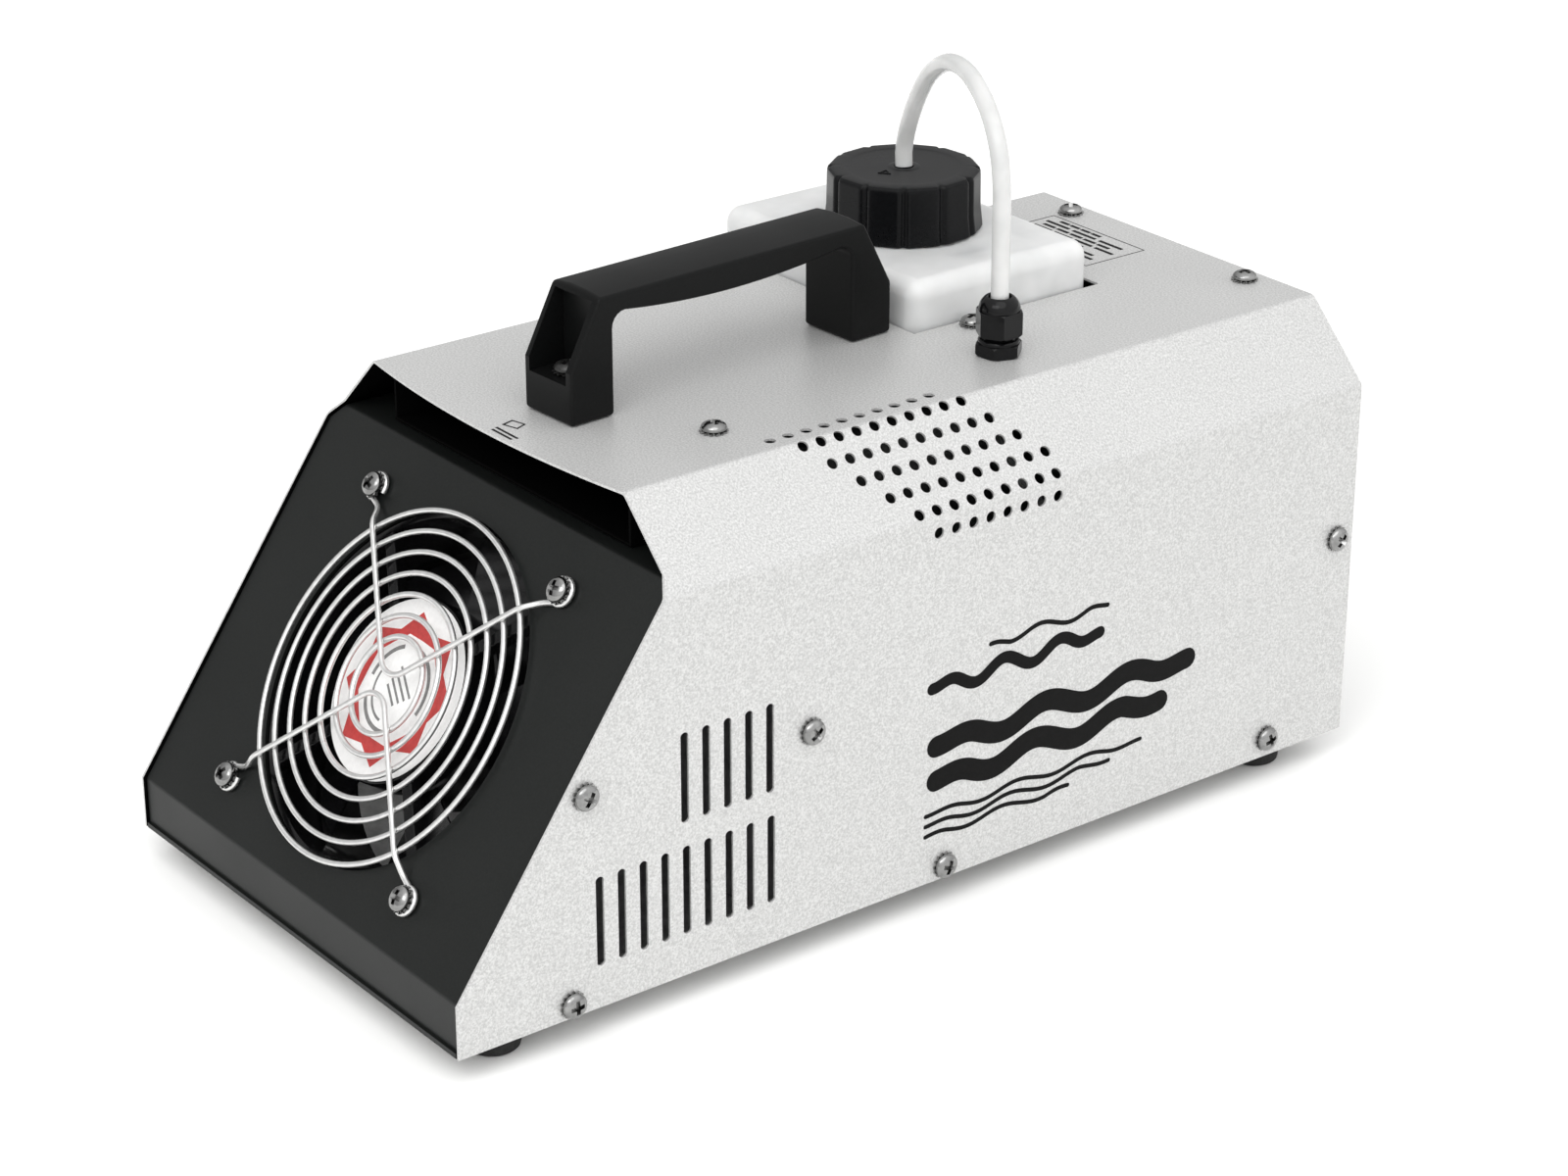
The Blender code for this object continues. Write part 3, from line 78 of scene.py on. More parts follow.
def add_object(name, data):
    obj = bpy.data.objects.new(name, data)
    bpy.context.collection.objects.link(obj)
    return obj


def centre_of(node):
    """A CAD node's middle in machine millimetres."""
    low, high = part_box(node)
    return TO_MACHINE @ ((low + high) / 2)


# Camera

def make_camera():
    place, target = Vector((0.9275, -0.70275, 0.6011)), Vector((-0.0085, 0.0375, 0.0658))
    back = (place - target).normalized()
    right = Vector((0, 0, 1)).cross(back).normalized()
    up = back.cross(right)
    roll = math.radians(0.337)
    across = right * math.cos(roll) + up * math.sin(roll)
    upward = up * math.cos(roll) - right * math.sin(roll)
    camera = add_object("camera", bpy.data.cameras.new("camera"))
    matrix = Matrix((across, upward, back)).transposed().to_4x4()
    matrix.translation = place
    camera.matrix_world = matrix
    camera.data.sensor_width = 36
    camera.data.lens = 87.43
    camera.data.shift_x = -0.03085
    camera.data.shift_y = 0.00135
    camera.data.clip_start, camera.data.clip_end = 0.05, 60
    bpy.context.scene.camera = camera


# Mesh tools, all in millimetres

def edited(meshes, change=None):
    """The meshes as one new mesh, after change(work)."""
    work = bmesh.new()
    for mesh in meshes:
        work.from_mesh(mesh)
    if change:
        change(work)
    result = bpy.data.meshes.new("shape")
    work.to_mesh(result)
    work.free()
    return result


def mesh_of(points, faces):
    mesh = bpy.data.meshes.new("shape")
    mesh.from_pydata([tuple(point) for point in points], [], faces)
    return edited([mesh], lambda work: bmesh.ops.recalc_face_normals(work, faces=work.faces))


def prism(outline, axis, low, high):
    """A closed outline in the plane across an axis, extruded along it."""
    def place(pair, along):
        values = list(pair)
        values.insert(axis, along)
        return values

    count = len(outline)
    points = [place(pair, along) for along in (low, high) for pair in outline]
    faces = [list(range(count)), list(range(count, 2 * count))]
    faces += [[i, (i + 1) % count, count + (i + 1) % count, count + i] for i in range(count)]
    return mesh_of(points, faces)


def box(low, high):
    outline = [(low[0], low[1]), (high[0], low[1]), (high[0], high[1]), (low[0], high[1])]
    return prism(outline, 2, low[2], high[2])


def polar(radius, angle):
    return radius * math.cos(angle), radius * math.sin(angle)


def circle(sides, radius, centre=(0, 0), start=0.0):
    angles = [start + 2 * math.pi * i / sides for i in range(sides)]
    return [(centre[0] + radius * math.cos(a), centre[1] + radius * math.sin(a)) for a in angles]


def rod(radius, low, high, sides=48, centre=(0, 0)):
    return prism(circle(sides, radius, centre), 2, low, high)


def rounded_rectangle(half_x, half_y, radius, steps=5):
    outline = []
    for sx, sy, first in ((1, 1, 0), (-1, 1, 90), (-1, -1, 180), (1, -1, 270)):
        for step in range(steps + 1):
            angle = math.radians(first + 90 * step / steps)
            outline.append((sx * (half_x - radius) + radius * math.cos(angle),
                            sy * (half_y - radius) + radius * math.sin(angle)))
    return outline


def turned(profile, sides=48, radius_at=None):
    """A profile of (radius, height) turned about Z. It closes on the axis or on itself."""
    points, rings = [], []
    for radius, height in profile:
        steps = 1 if radius == 0 else sides
        rings.append(list(range(len(points), len(points) + steps)))
        for step in range(steps):
            angle = 2 * math.pi * step / sides
            reach = radius_at(radius, angle) if radius_at and radius else radius
            points.append((*polar(reach, angle), height))
    on_axis = profile[0][0] == 0
    faces = []
    for lower, upper in list(zip(rings, rings[1:])) + ([] if on_axis else [(rings[-1], rings[0])]):
        for step in range(sides):
            following = (step + 1) % sides
            corners = [lower[step % len(lower)], lower[following % len(lower)],
                       upper[following % len(upper)], upper[step % len(upper)]]
            faces.append(list(dict.fromkeys(corners)))
    return mesh_of(points, faces)


def swept(path, radius, sides=12, closed=False):
    """A round wire or tube along a path, its sections turned as little as possible."""
    path = [Vector(point) for point in path]
    count = len(path)
    points, across = [], None
    for index, point in enumerate(path):
        before = path[index - 1] if closed or index else point
        after = path[(index + 1) % count] if closed or index < count - 1 else point
        along = (after - before).normalized()
        if across is None:
            across = along.orthogonal()
        across = (across - along * across.dot(along)).normalized()
        other = along.cross(across)
        for side in range(sides):
            angle = 2 * math.pi * side / sides
            points.append(point + radius * (math.cos(angle) * across + math.sin(angle) * other))
    faces = [
        [ring * sides + side, ring * sides + (side + 1) % sides,
         (ring + 1) % count * sides + (side + 1) % sides, (ring + 1) % count * sides + side]
        for ring in range(count if closed else count - 1) for side in range(sides)
    ]
    if not closed:
        faces += [list(range(sides)), list(range((count - 1) * sides, count * sides))]
    return mesh_of(points, faces)


def joined(*meshes):
    return edited(meshes)


def placed(mesh, *matrices):
    result = mesh.copy()
    for matrix in reversed(matrices):
        result.transform(matrix)
    return result


def shift(x, y, z=0.0):
    return Matrix.Translation((x, y, z))


def spin(angle):
    """A turn about Z, in radians."""
    return Matrix.Rotation(angle, 4, "Z")


def evaluated(mesh, modify):
    """The mesh after modifiers that modify(obj) adds."""
    obj = add_object("work", mesh)
    modify(obj)
    graph = bpy.context.evaluated_depsgraph_get()
    result = bpy.data.meshes.new_from_object(obj.evaluated_get(graph))
    bpy.data.objects.remove(obj)
    return result


def carve(mesh, *tools, operation="DIFFERENCE"):
    helpers = []

    def modify(obj):
        for tool in tools:
            helpers.append(add_object("tool", tool))
            modifier = obj.modifiers.new("cut", "BOOLEAN")
            modifier.operation = operation
            modifier.object = helpers[-1]
            modifier.solver = "EXACT"

    result = evaluated(mesh, modify)
    for helper in helpers:
        bpy.data.objects.remove(helper)
    return result


def round_edges(obj, width, segments, angle):
    modifier = obj.modifiers.new("rounding", "BEVEL")
    modifier.width = width
    modifier.segments = segments
    modifier.limit_method = "ANGLE"
    modifier.angle_limit = math.radians(angle)


def softened(mesh, width, segments=3, angle=30):
    return evaluated(mesh, lambda obj: round_edges(obj, width, segments, angle))


def sheet_section(route, thickness, radius, steps=6):
    """The closed section of a sheet folded along a route. It lies inside the folds, all turned one way."""
    route = [Vector(point) for point in route]

    def inward(start, end):
        along = (end - start).normalized()
        return Vector((-along.y, along.x)) * way

    first, second = route[1] - route[0], route[2] - route[1]
    way = 1 if first.x * second.y - first.y * second.x > 0 else -1
    outer = [route[0]]
    inner = [route[0] + inward(route[0], route[1]) * thickness]
    for before, corner, after in zip(route, route[1:], route[2:]):
        into, out = inward(before, corner), inward(corner, after)
        fold = into.angle(out)
        centre = corner + (before - corner).normalized() * radius * math.tan(fold / 2) + into * radius
        for step in range(steps + 1):
            turn = Matrix.Rotation(way * fold * step / steps, 2)
            spoke = turn @ (-into)
            outer.append(centre + spoke * radius)
            inner.append(centre + spoke * (radius - thickness))
    outer.append(route[-1])
    inner.append(route[-1] + inward(route[-2], route[-1]) * thickness)
    return [tuple(point) for point in outer + inner[::-1]]


def smooth_points(route, step):
    """Points at about equal steps along a Catmull-Rom curve through the route."""
    route = [Vector(point) for point in route]
    ends = [route[0] * 2 - route[1]] + route + [route[-1] * 2 - route[-2]]
    fine = []
    for index in range(len(route) - 1):
        a, b, c, d = ends[index:index + 4]
        for part in range(12):
            t = part / 12
            fine.append(0.5 * (2 * b + (c - a) * t + (2 * a - 5 * b + 4 * c - d) * t ** 2
                               + (3 * b - a - 3 * c + d) * t ** 3))
    fine.append(route[-1])
    total = sum((b - a).length for a, b in zip(fine, fine[1:]))
    count = round(total / step)
    points, travelled, target = [fine[0]], 0.0, total / count
    for a, b in zip(fine, fine[1:]):
        length = (b - a).length
        while travelled + length >= target and len(points) < count:
            points.append(a + (b - a) * ((target - travelled) / length))
            target += total / count
        travelled += length
    points.append(fine[-1])
    return points


def eased(path, reach):
    """A path with each sharp corner replaced by a short curve."""
    path = [Vector(point) for point in path]
    result = [path[0]]
    for before, corner, after in zip(path, path[1:], path[2:]):
        back, ahead = before - corner, after - corner
        if math.degrees(back.angle(-ahead)) < 8 or min(back.length, ahead.length) < 2.5:
            result.append(corner)
            continue
        start = corner + back.normalized() * min(reach, back.length * 0.45)
        end = corner + ahead.normalized() * min(reach, ahead.length * 0.45)
        for step in range(7):
            t = step / 6
            result.append(start * (1 - t) ** 2 + corner * 2 * t * (1 - t) + end * t ** 2)
    return result + [path[-1]]


# Materials

def finish(name, dark, light, grain, rough, metallic=0.0, bump=0.0, relief=0.0001, blotch=0.25,
           specular=0.5, subsurface=0.0, radius=0.004, detail=3.0):
    """A surface with fine grain and broad soft variation in colour, gloss and relief."""
    material = bpy.data.materials.new(name)
    material.use_nodes = True
    tree = material.node_tree
    link = tree.links.new
    shader = tree.nodes["Principled BSDF"]

    def node(kind, **values):
        made = tree.nodes.new(kind)
        for key, value in values.items():
            made.inputs[key].default_value = value
        return made

    coordinates = node("ShaderNodeTexCoord")
    fine = node("ShaderNodeTexNoise", Scale=grain, Detail=detail, Roughness=0.6)
    broad = node("ShaderNodeTexNoise", Scale=max(grain / 60, 6.0), Detail=2.0, Roughness=0.5)
    for noise in (fine, broad):
        link(coordinates.outputs["Object"], noise.inputs["Vector"])
    mix = node("ShaderNodeMath")
    mix.operation = "MULTIPLY_ADD"
    mix.inputs[1].default_value = blotch
    link(broad.outputs["Fac"], mix.inputs[0])
    fine_part = node("ShaderNodeMath")
    fine_part.operation = "MULTIPLY"
    fine_part.inputs[1].default_value = 1 - blotch
    link(fine.outputs["Fac"], fine_part.inputs[0])
    link(fine_part.outputs[0], mix.inputs[2])
    ramp = node("ShaderNodeValToRGB")
    for element, side, colour in zip(ramp.color_ramp.elements, (-1, 1), (dark, light)):
        element.position = 0.5 + side * 0.15
        element.color = (*colour, 1)
    link(mix.outputs[0], ramp.inputs["Fac"])
    link(ramp.outputs["Color"], shader.inputs["Base Color"])
    gloss = node("ShaderNodeMapRange", **{"From Min": 0.3, "From Max": 0.7,
                                          "To Min": rough[0], "To Max": rough[1]})
    link(broad.outputs["Fac"], gloss.inputs["Value"])
    link(gloss.outputs["Result"], shader.inputs["Roughness"])
    if bump:
        height = node("ShaderNodeBump", Strength=bump, Distance=relief)
        link(fine.outputs["Fac"], height.inputs["Height"])
        link(height.outputs["Normal"], shader.inputs["Normal"])
    shader.inputs["Metallic"].default_value = metallic
    shader.inputs["Specular IOR Level"].default_value = specular
    shader.inputs["Subsurface Weight"].default_value = subsurface
    shader.inputs["Subsurface Radius"].default_value = (1.0, 0.95, 0.9)
    shader.inputs["Subsurface Scale"].default_value = radius
    return material


def grey(value):
    return (value, value, value * 0.99)


def make_materials():
    """Each entry: name, darkest and lightest colour, grain, least and most roughness, other inputs."""
    paint, plastic = dict(bump=0.05, relief=0.00004, specular=0.20), dict(bump=0.1, relief=0.00005)
    table = {
        "silver": ("silver_paint", grey(0.435), grey(0.625), 1500, (0.36, 0.44), dict(
            metallic=0.30, bump=0.08, relief=0.00005, blotch=0.04, detail=2.0)),
        "black_paint": ("black_paint", (0.0070, 0.0080, 0.0075), (0.0105, 0.0115, 0.011), 1400,
                        (0.34, 0.42), paint),
        # painted shade: a near-black material with almost no specular for inner faces that stand in shade
        "lining": ("dark_lining", grey(0.0015), grey(0.0025), 900, (0.6, 0.8), dict(specular=0.02)),
        "zinc": ("zinc_sheet", grey(0.40), grey(0.62), 160, (0.28, 0.42), dict(metallic=0.9, detail=4.0)),
        "chrome": ("chrome", grey(0.22), grey(0.34), 300, (0.12, 0.20), dict(metallic=1.0, detail=2.0)),
        # painted shade: a near-black material for the screws' cross recesses
        "recess": ("dark_recess", grey(0.006), grey(0.012), 500, (0.4, 0.5), dict(specular=0.2)),
        "wire": ("chromed_wire", grey(0.66), grey(0.78), 400, (0.24, 0.32), dict(metallic=0.85, detail=2.0)),
        "socket": ("socket_metal", grey(0.36), grey(0.48), 500, (0.22, 0.32), dict(metallic=1.0)),
        "dark_steel": ("dark_steel", grey(0.030), grey(0.055), 500, (0.3, 0.42), dict(metallic=0.7)),
        "steel": ("turned_steel", grey(0.48), grey(0.60), 600, (0.2, 0.3), dict(metallic=1.0)),
        "cast": ("cast_aluminium", grey(0.07), grey(0.12), 700, (0.45, 0.6), dict(
            metallic=0.9, bump=0.3, relief=0.0001)),
        "moulded": ("moulded_black", (0.0035, 0.0037, 0.0037), (0.0060, 0.0063, 0.0063), 1700,
                    (0.34, 0.42), dict(bump=0.20, relief=0.00005, specular=0.10)),
        "cap": ("cap_black", (0.0025, 0.0026, 0.003), (0.0050, 0.0052, 0.0058), 900, (0.22, 0.32), dict(
            plastic, specular=0.13)),
        "gloss": ("gloss_black", (0.003, 0.003, 0.0033), (0.005, 0.005, 0.0054), 500, (0.10, 0.15), dict(
            paint, bump=0.02)),
        "rotor": ("rotor_black", (0.003, 0.003, 0.0035), (0.006, 0.006, 0.0065), 300, (0.16, 0.26), dict(
            specular=0.3)),
        "grey_plastic": ("grey_plastic", grey(0.12), grey(0.17), 1200, (0.35, 0.5), plastic),
        "rubber": ("rubber", grey(0.010), grey(0.022), 900, (0.65, 0.85), dict(
            bump=0.25, relief=0.0001, specular=0.3)),
        "milky": ("milky_plastic", (0.60, 0.605, 0.60), (0.70, 0.70, 0.695), 60, (0.30, 0.42), dict(
            bump=0.05, relief=0.0003, subsurface=0.6, radius=0.006, detail=2.0)),
        "hose": ("hose_plastic", (0.56, 0.565, 0.56), (0.64, 0.64, 0.635), 90, (0.20, 0.30), dict(
            subsurface=0.7, radius=0.003, detail=2.0)),
        "board": ("board", (0.010, 0.07, 0.03), (0.018, 0.11, 0.045), 500, (0.35, 0.5), dict(
            bump=0.2, relief=0.0002)),
        "white_label": ("white_label", grey(0.80), grey(0.88), 500, (0.32, 0.40), {}),
        "red_print": ("red_print", (0.44, 0.035, 0.035), (0.55, 0.055, 0.05), 600, (0.32, 0.40), {}),
        "grey_print": ("grey_print", grey(0.16), grey(0.24), 600, (0.32, 0.40), {}),
        "black_print": ("black_print", grey(0.002), grey(0.004), 900, (0.38, 0.5), dict(specular=0.08)),
        "pin": ("pin_metal", (0.50, 0.42, 0.26), (0.62, 0.53, 0.34), 500, (0.2, 0.3), dict(metallic=1.0)),
        "glass": ("display_glass", (0.010, 0.020, 0.045), (0.016, 0.030, 0.065), 60, (0.04, 0.07), {}),
        "floor": ("floor", grey(0.93), grey(0.96), 3, (0.75, 0.9), dict(specular=0.1)),
    }
    return {key: finish(*values, **inputs) for key, (*values, inputs) in table.items()}


MATERIALS = make_materials()


# Pieces

def piece(name, mesh, material, body="chassis", stands_for=(), smooth=32, second=None):
    mesh.transform(MACHINE)
    mesh.materials.clear()
    mesh.materials.append(MATERIALS[material])
    if second:
        mesh.materials.append(MATERIALS[second])
    else:
        mesh.polygons.foreach_set("material_index", [0] * len(mesh.polygons))
    mesh.shade_smooth()
    mesh.set_sharp_from_angle(angle=math.radians(smooth))
    obj = add_object(name, mesh)
    obj.modifiers.new("flat_faces", "WEIGHTED_NORMAL").keep_sharp = True
    if body:
        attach(obj, body)
    if stands_for:
        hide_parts(*stands_for)
    return obj


def dress(material, *nodes, bevel=0.0):
    """Gives carried-over CAD nodes their material, softer edges and smooth shading."""
    for name in nodes:
        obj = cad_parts[name]
        obj.data.materials.clear()
        obj.data.materials.append(MATERIALS[material])
        obj.data.polygons.foreach_set("material_index", [0] * len(obj.data.polygons))
        obj.data.shade_smooth()
        obj.modifiers.new("weld", "WELD").merge_threshold = 1e-6
        if bevel:
            round_edges(obj, bevel * MM, 2, 40)
        obj.modifiers.new("edges", "EDGE_SPLIT").split_angle = math.radians(38)


# Hose and dip tube

# Each point is (part of the way from the cap to the gland, height).
HOSE_ROUTE = [
    (0.0, 191.0), (0.0, 198.0), (0.06, 209.0), (0.16, 221.0), (0.28, 231.0), (0.45, 238.5), (0.62, 240.0),
    (0.76, 236.7), (0.87, 231.0), (0.95, 223.0), (0.99, 213.0), (1.0, 200.0), (1.0, 187.0), (1.0, 172.0),
]
HOSE_DIAMETER = 6
HOSE_STEP = 4.6
CAP_RISE_CLEARANCE = 6.5
CAP_X, CAP_DEPTH = -35.9, 274
AT_CAP = shift(CAP_X, CAP_DEPTH)
GLAND_X, GLAND_DEPTH = 48.3, 245.7


def make_hose():
    start, end = Vector((CAP_X, CAP_DEPTH, 0)), Vector((GLAND_X, GLAND_DEPTH, 0))
    route = [start.lerp(end, part) + Vector((0, 0, height)) for part, height in HOSE_ROUTE[::-1]]
    path = smooth_points(route, HOSE_STEP)
    hose = piece("hose", swept(path, HOSE_DIAMETER / 2, 24), "hose", None, ("suction_hose",))
    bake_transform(hose)


def make_pickup():
    """The dip tube and strainer. Its top stays below the hose's fixed end when the cap is raised."""
    bottom = (TO_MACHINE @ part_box("pickup_tube")[0]).z
    radius, top = HOSE_DIAMETER / 2, HOSE_ROUTE[0][1] - CAP_RISE_CLEARANCE
    strainer = [(0, 0), (6, 0), (6.7, 0.3), (7, 1), (7, 14), (5, 16), (radius, 16)]
    profile = [(reach, bottom + rise) for reach, rise in strainer] + [(radius, top), (0, top)]
    piece("pickup_line", placed(turned(profile, 32), AT_CAP), "hose", "pickup", ("pickup_tube",))


# Sheet metal

SLOT_WIDTH, SLOT_HEIGHT, SLOT_PITCH = 3.1, 30.5, 8.1
SLOT_ROWS = ((5, 84.0, 53.0), (9, 52.0, 14.4))
SCALLOPS = 26
HOLE_RADIUS, HOLE_PITCH, HOLE_ROW_STEP = 1.9, 7.03, 8.0
HOLE_FIRST_DEPTH, HOLE_ROWS, HOLES_PER_ROW, LAST_HOLE = 140.5, 7, 10, 13
FIRST_ROW_FROM_BEND = -6.5
HOOD_SHEET, PANEL_SHEET = 0.8, 1.2
SCREW_HOLE_RADIUS = 1.8
SIDE_SCREWS = [(47.2, 73.5), (41, 4.8), (132.4, 69.5), (187, 4.9), (331.2, 7.1), (360, 74.5)]
TOP_SCREWS = [(46.8, 131.4), (-46.8, 131.4), (45, 359.5), (-45, 359.5), (22.5, 256.6)]
TANK_HOLE = (-92.2, 17.4, 235.6, 317.2)


def slot_outline(depth, height):
    """A slot punched in small bites, so that its long edges are scalloped."""
    middle, half = height + SLOT_HEIGHT / 2, SLOT_WIDTH / 2
    straight = SLOT_HEIGHT / 2 - half
    outline = []
    for end in (1, -1):
        for arc in range(9):
            angle = (0 if end > 0 else math.pi) + math.pi * arc / 8
            outline.append((depth + half * math.cos(angle), middle + end * straight + half * math.sin(angle)))
        for bite in range(1, 2 * SCALLOPS):
            along = end * straight * (1 - bite / SCALLOPS)
            inset = 0.16 if bite % 2 else 0.0
            outline.append((depth - end * (half - inset), middle + along))
    return outline


def slot_tool():
    outlines = [slot_outline(first + step * SLOT_PITCH, height)
                for count, first, height in SLOT_ROWS for step in range(count)]
    return joined(*[prism(outline, 0, -HALF - 5, HALF + 5) for outline in outlines])


def perforation_tool():
    """Staggered rows wrapped over the right shoulder, measured along the bent sheet."""
    shapes = []
    slope = math.sqrt(2) * SHOULDER
    for row in range(HOLE_ROWS):
        along = HOLE_ROW_STEP * row + FIRST_ROW_FROM_BEND
        if along < 0:
            x, height, lean = TOP_HALF + along, TOP, 0
        elif along < slope:
            x, height, lean = TOP_HALF + along / math.sqrt(2), TOP - along / math.sqrt(2), 45
        else:
            x, height, lean = HALF, SIDE_TOP - (along - slope), 90
        for column in range(row, min(row + HOLES_PER_ROW, LAST_HOLE + 1)):
            place = shift(x, HOLE_FIRST_DEPTH + column * HOLE_PITCH, height)
            tilt = Matrix.Rotation(math.radians(lean), 4, "Y")
            shapes.append(placed(rod(HOLE_RADIUS, -3, 2.2, 24), place, tilt))
    return joined(*shapes)


def screw_hole_tool():
    shapes = [prism(circle(16, SCREW_HOLE_RADIUS, spot), 0, -HALF - 5, HALF + 5) for spot in SIDE_SCREWS]
    shapes += [rod(SCREW_HOLE_RADIUS, TOP - 8, TOP + 2, 16, spot) for spot in TOP_SCREWS]
    return joined(*shapes)


def paint_inner_shade(hood):
    """Paints shade in near-black on the inner faces, which lie one sheet thickness inside the outline and
    face inwards.
    """
    hood.data.materials.append(MATERIALS["lining"])
    for face in hood.data.polygons:
        spot, normal = TO_MACHINE @ face.center, face.normal
        beyond_wall = abs(spot.x) >= HALF - 0.7 or spot.z >= TOP - 0.7
        beyond_shoulder = abs(spot.x) - TOP_HALF + spot.z - SIDE_TOP >= SHOULDER - 0.9
        inward = -normal.x * spot.x + normal.z * (TOP / 2 - spot.z) > 0
        if inward and abs(normal.y) < 0.5 and not beyond_wall and not beyond_shoulder:
            face.material_index = 1


def make_hood():
    section = [(HALF, 0), (HALF, SIDE_TOP), (TOP_HALF, TOP), (-TOP_HALF, TOP), (-HALF, SIDE_TOP), (-HALF, 0)]
    hood = prism(sheet_section(section, HOOD_SHEET, 3.0), 1, -1, LENGTH)
    cut_top = 141
    lower_front = prism([(-20, -10), (0, -10), (0, LIP), (FRONT_DEPTH, FRONT_TOP), (FRONT_DEPTH, cut_top),
                         (-20, cut_top)], 0, -HALF - 5, HALF + 5)
    edge = [(x / 20 * TOP_HALF, FRONT_DEPTH - BOW * (1 - (x / 20) ** 2)) for x in range(-20, 21)]
    upper_front = prism([(-HALF - 5, -20), (HALF + 5, -20), (HALF + 5, FRONT_DEPTH)] + edge[::-1]
                        + [(-HALF - 5, FRONT_DEPTH)], 2, cut_top - 0.5, TOP + 5)
    left, right, front, rear = TANK_HOLE
    bottle_hole = box((left, front, SIDE_TOP - 5), (right, rear, TOP + 5))
    round_holes = [rod(6, TOP - 3, TOP + 3, 32, (GLAND_X, GLAND_DEPTH))]
    round_holes += [rod(HANDLE_BORE, TOP - 3, TOP + 3, 24, place.xy) for place in handle_screw_places()]
    hood = carve(hood, lower_front, upper_front)
    hood = carve(hood, slot_tool(), perforation_tool(), screw_hole_tool(), bottle_hole, joined(*round_holes))
    paint_inner_shade(piece("hood_shell", hood, "silver", stands_for=("hood",)))


def make_front_panel():
    inside_half = HALF - 1.5
    base = Vector((0, 0, LIP)) - PANEL_RECESS * OUTWARD
    fold = (PANEL_RECESS - base.y) / SLANT.y
    top_height = FRONT_TOP - 1.3
    top = (top_height - base.z) / SLANT.z
    corner, head = base + SLANT * fold, base + SLANT * top
    route = [(PANEL_RECESS, 1.6), (corner.y, corner.z), (head.y, head.z), (99, top_height)]
    panel = prism(sheet_section(route, PANEL_SHEET, 2.4), 0, -inside_half, inside_half)
    shoulder_height = SIDE_TOP - 1.2
    top_half = HALF - (top_height - SIDE_TOP) - 2.4
    for sign in (1, -1):
        outline = [(sign * (inside_half + 5), shoulder_height - 5),
                   (sign * (inside_half + 0.01), shoulder_height), (sign * top_half, top_height),
                   (sign * (top_half - 3), top_height + 3), (sign * (inside_half + 5), top_height + 5)]
        panel = carve(panel, prism(outline, 1, -5, 110))
    holes = [rod(59, -5, 5, 96)] + [rod(FAN_SCREW_BORE, -5, 5, 16, spot) for spot in FAN_SCREWS]
    panel = carve(panel, placed(joined(*holes), FAN_FRAME))
    points = [base + SLANT * along - OUTWARD * depth
              for along, depth in ((9, 0.4), (124, 0.4), (124, 12), (9, 12))]
    outline = [(point.y, point.z) for point in points]
    flanges = [prism(outline, 0, *sorted((sign * inside_half, sign * (inside_half - PANEL_SHEET))))
               for sign in (1, -1)]
    hem = box((-inside_half, 0.05, -0.05), (inside_half, 2.2, 1.65))
    panel = joined(panel, hem, *flanges)
    piece("front_plate", panel, "black_paint", stands_for=("front_panel",))


# Fasteners

RECESS_TURN = math.radians(24)
RECESS_HALF = 0.72
WASHER_TEETH = 14


def screw_mesh(length=6, shank=1.5, head=4.2, rise=3.4, collar=0.0):
    """A pan-head cross-recess screw on a toothed lock washer: underside at 0, dome at +rise."""
    low = 0.75
    profile = [(0, low), (head - 0.35, low), (head - 0.05, low + 0.3), (head, low + 0.65)]
    for step in range(1, 8):
        angle = math.pi / 2 * step / 7
        profile.append((head * math.cos(angle) ** 0.8 if step < 7 else 0,
                        low + 0.65 + (rise - low - 0.65) * math.sin(angle)))
    dome = turned(profile, 40)
    for turn in (0, math.pi / 2):
        arm = prism([(-0.68 * head, rise + 0.5), (0.68 * head, rise + 0.5), (0.34 * head, rise - 2.1),
                     (-0.34 * head, rise - 2.1)], 1, -RECESS_HALF, RECESS_HALF)
        dome = carve(dome, placed(arm, spin(turn + RECESS_TURN)))
    # painted shade: faces down in the cross recess get the near-black second material
    for face in dome.polygons:
        spot = spin(-RECESS_TURN) @ face.center
        across, along = sorted((abs(spot.x), abs(spot.y)))
        if spot.z > low + 0.4 and across < RECESS_HALF + 0.01 and along < 2.6:
            face.material_index = 1
    count = 4 * WASHER_TEETH
    points, faces = [], []
    for index in range(count):
        angle = 2 * math.pi * index / count
        tooth = index % 4
        reach = head + (0.45 if tooth in (0, 1) else -0.35)
        tilt = 0.18 if tooth in (1, 2) else -0.12
        for radius, lift in ((shank, 0.1), (reach, tilt)):
            for height in (0.05, 0.55):
                points.append((*polar(radius, angle), height + lift))
    for index in range(count):
        a, b = 4 * index, 4 * ((index + 1) % count)
        faces += [[a, b, b + 2, a + 2], [a + 1, a + 3, b + 3, b + 1], [a + 2, b + 2, b + 3, a + 3],
                  [a, a + 1, b + 1, b]]
    parts = [dome, mesh_of(points, faces), rod(shank, -length, low + 0.2, 20)]
    if collar:
        parts.append(softened(prism(circle(6, 3.1), 2, -collar, -0.05), 0.25, 2))
    return joined(*parts)


def fasten(name, node, shape, *matrices, material="chrome"):
    piece(name, placed(shape, *matrices), material, stands_for=(node,), second="recess")


def make_screws():
    shape = screw_mesh()
    for index, (depth, height) in enumerate(SIDE_SCREWS, 1):
        for side, sign in (("right", 1), ("left", -1)):
            facing = Matrix.Rotation(sign * math.pi / 2, 4, "Y") @ spin(index * 0.6)
            fasten(f"body_screw_{side}_{index}", f"side_screw_{side}_{index}", shape,
                   shift(sign * (HALF + 0.1), depth, height), facing)
    for index, (x, depth) in enumerate(TOP_SCREWS, 1):
        fasten(f"body_screw_top_{index}", f"top_screw_{index}", shape,
               shift(x, depth, TOP + 0.1) @ spin(index * 0.9))


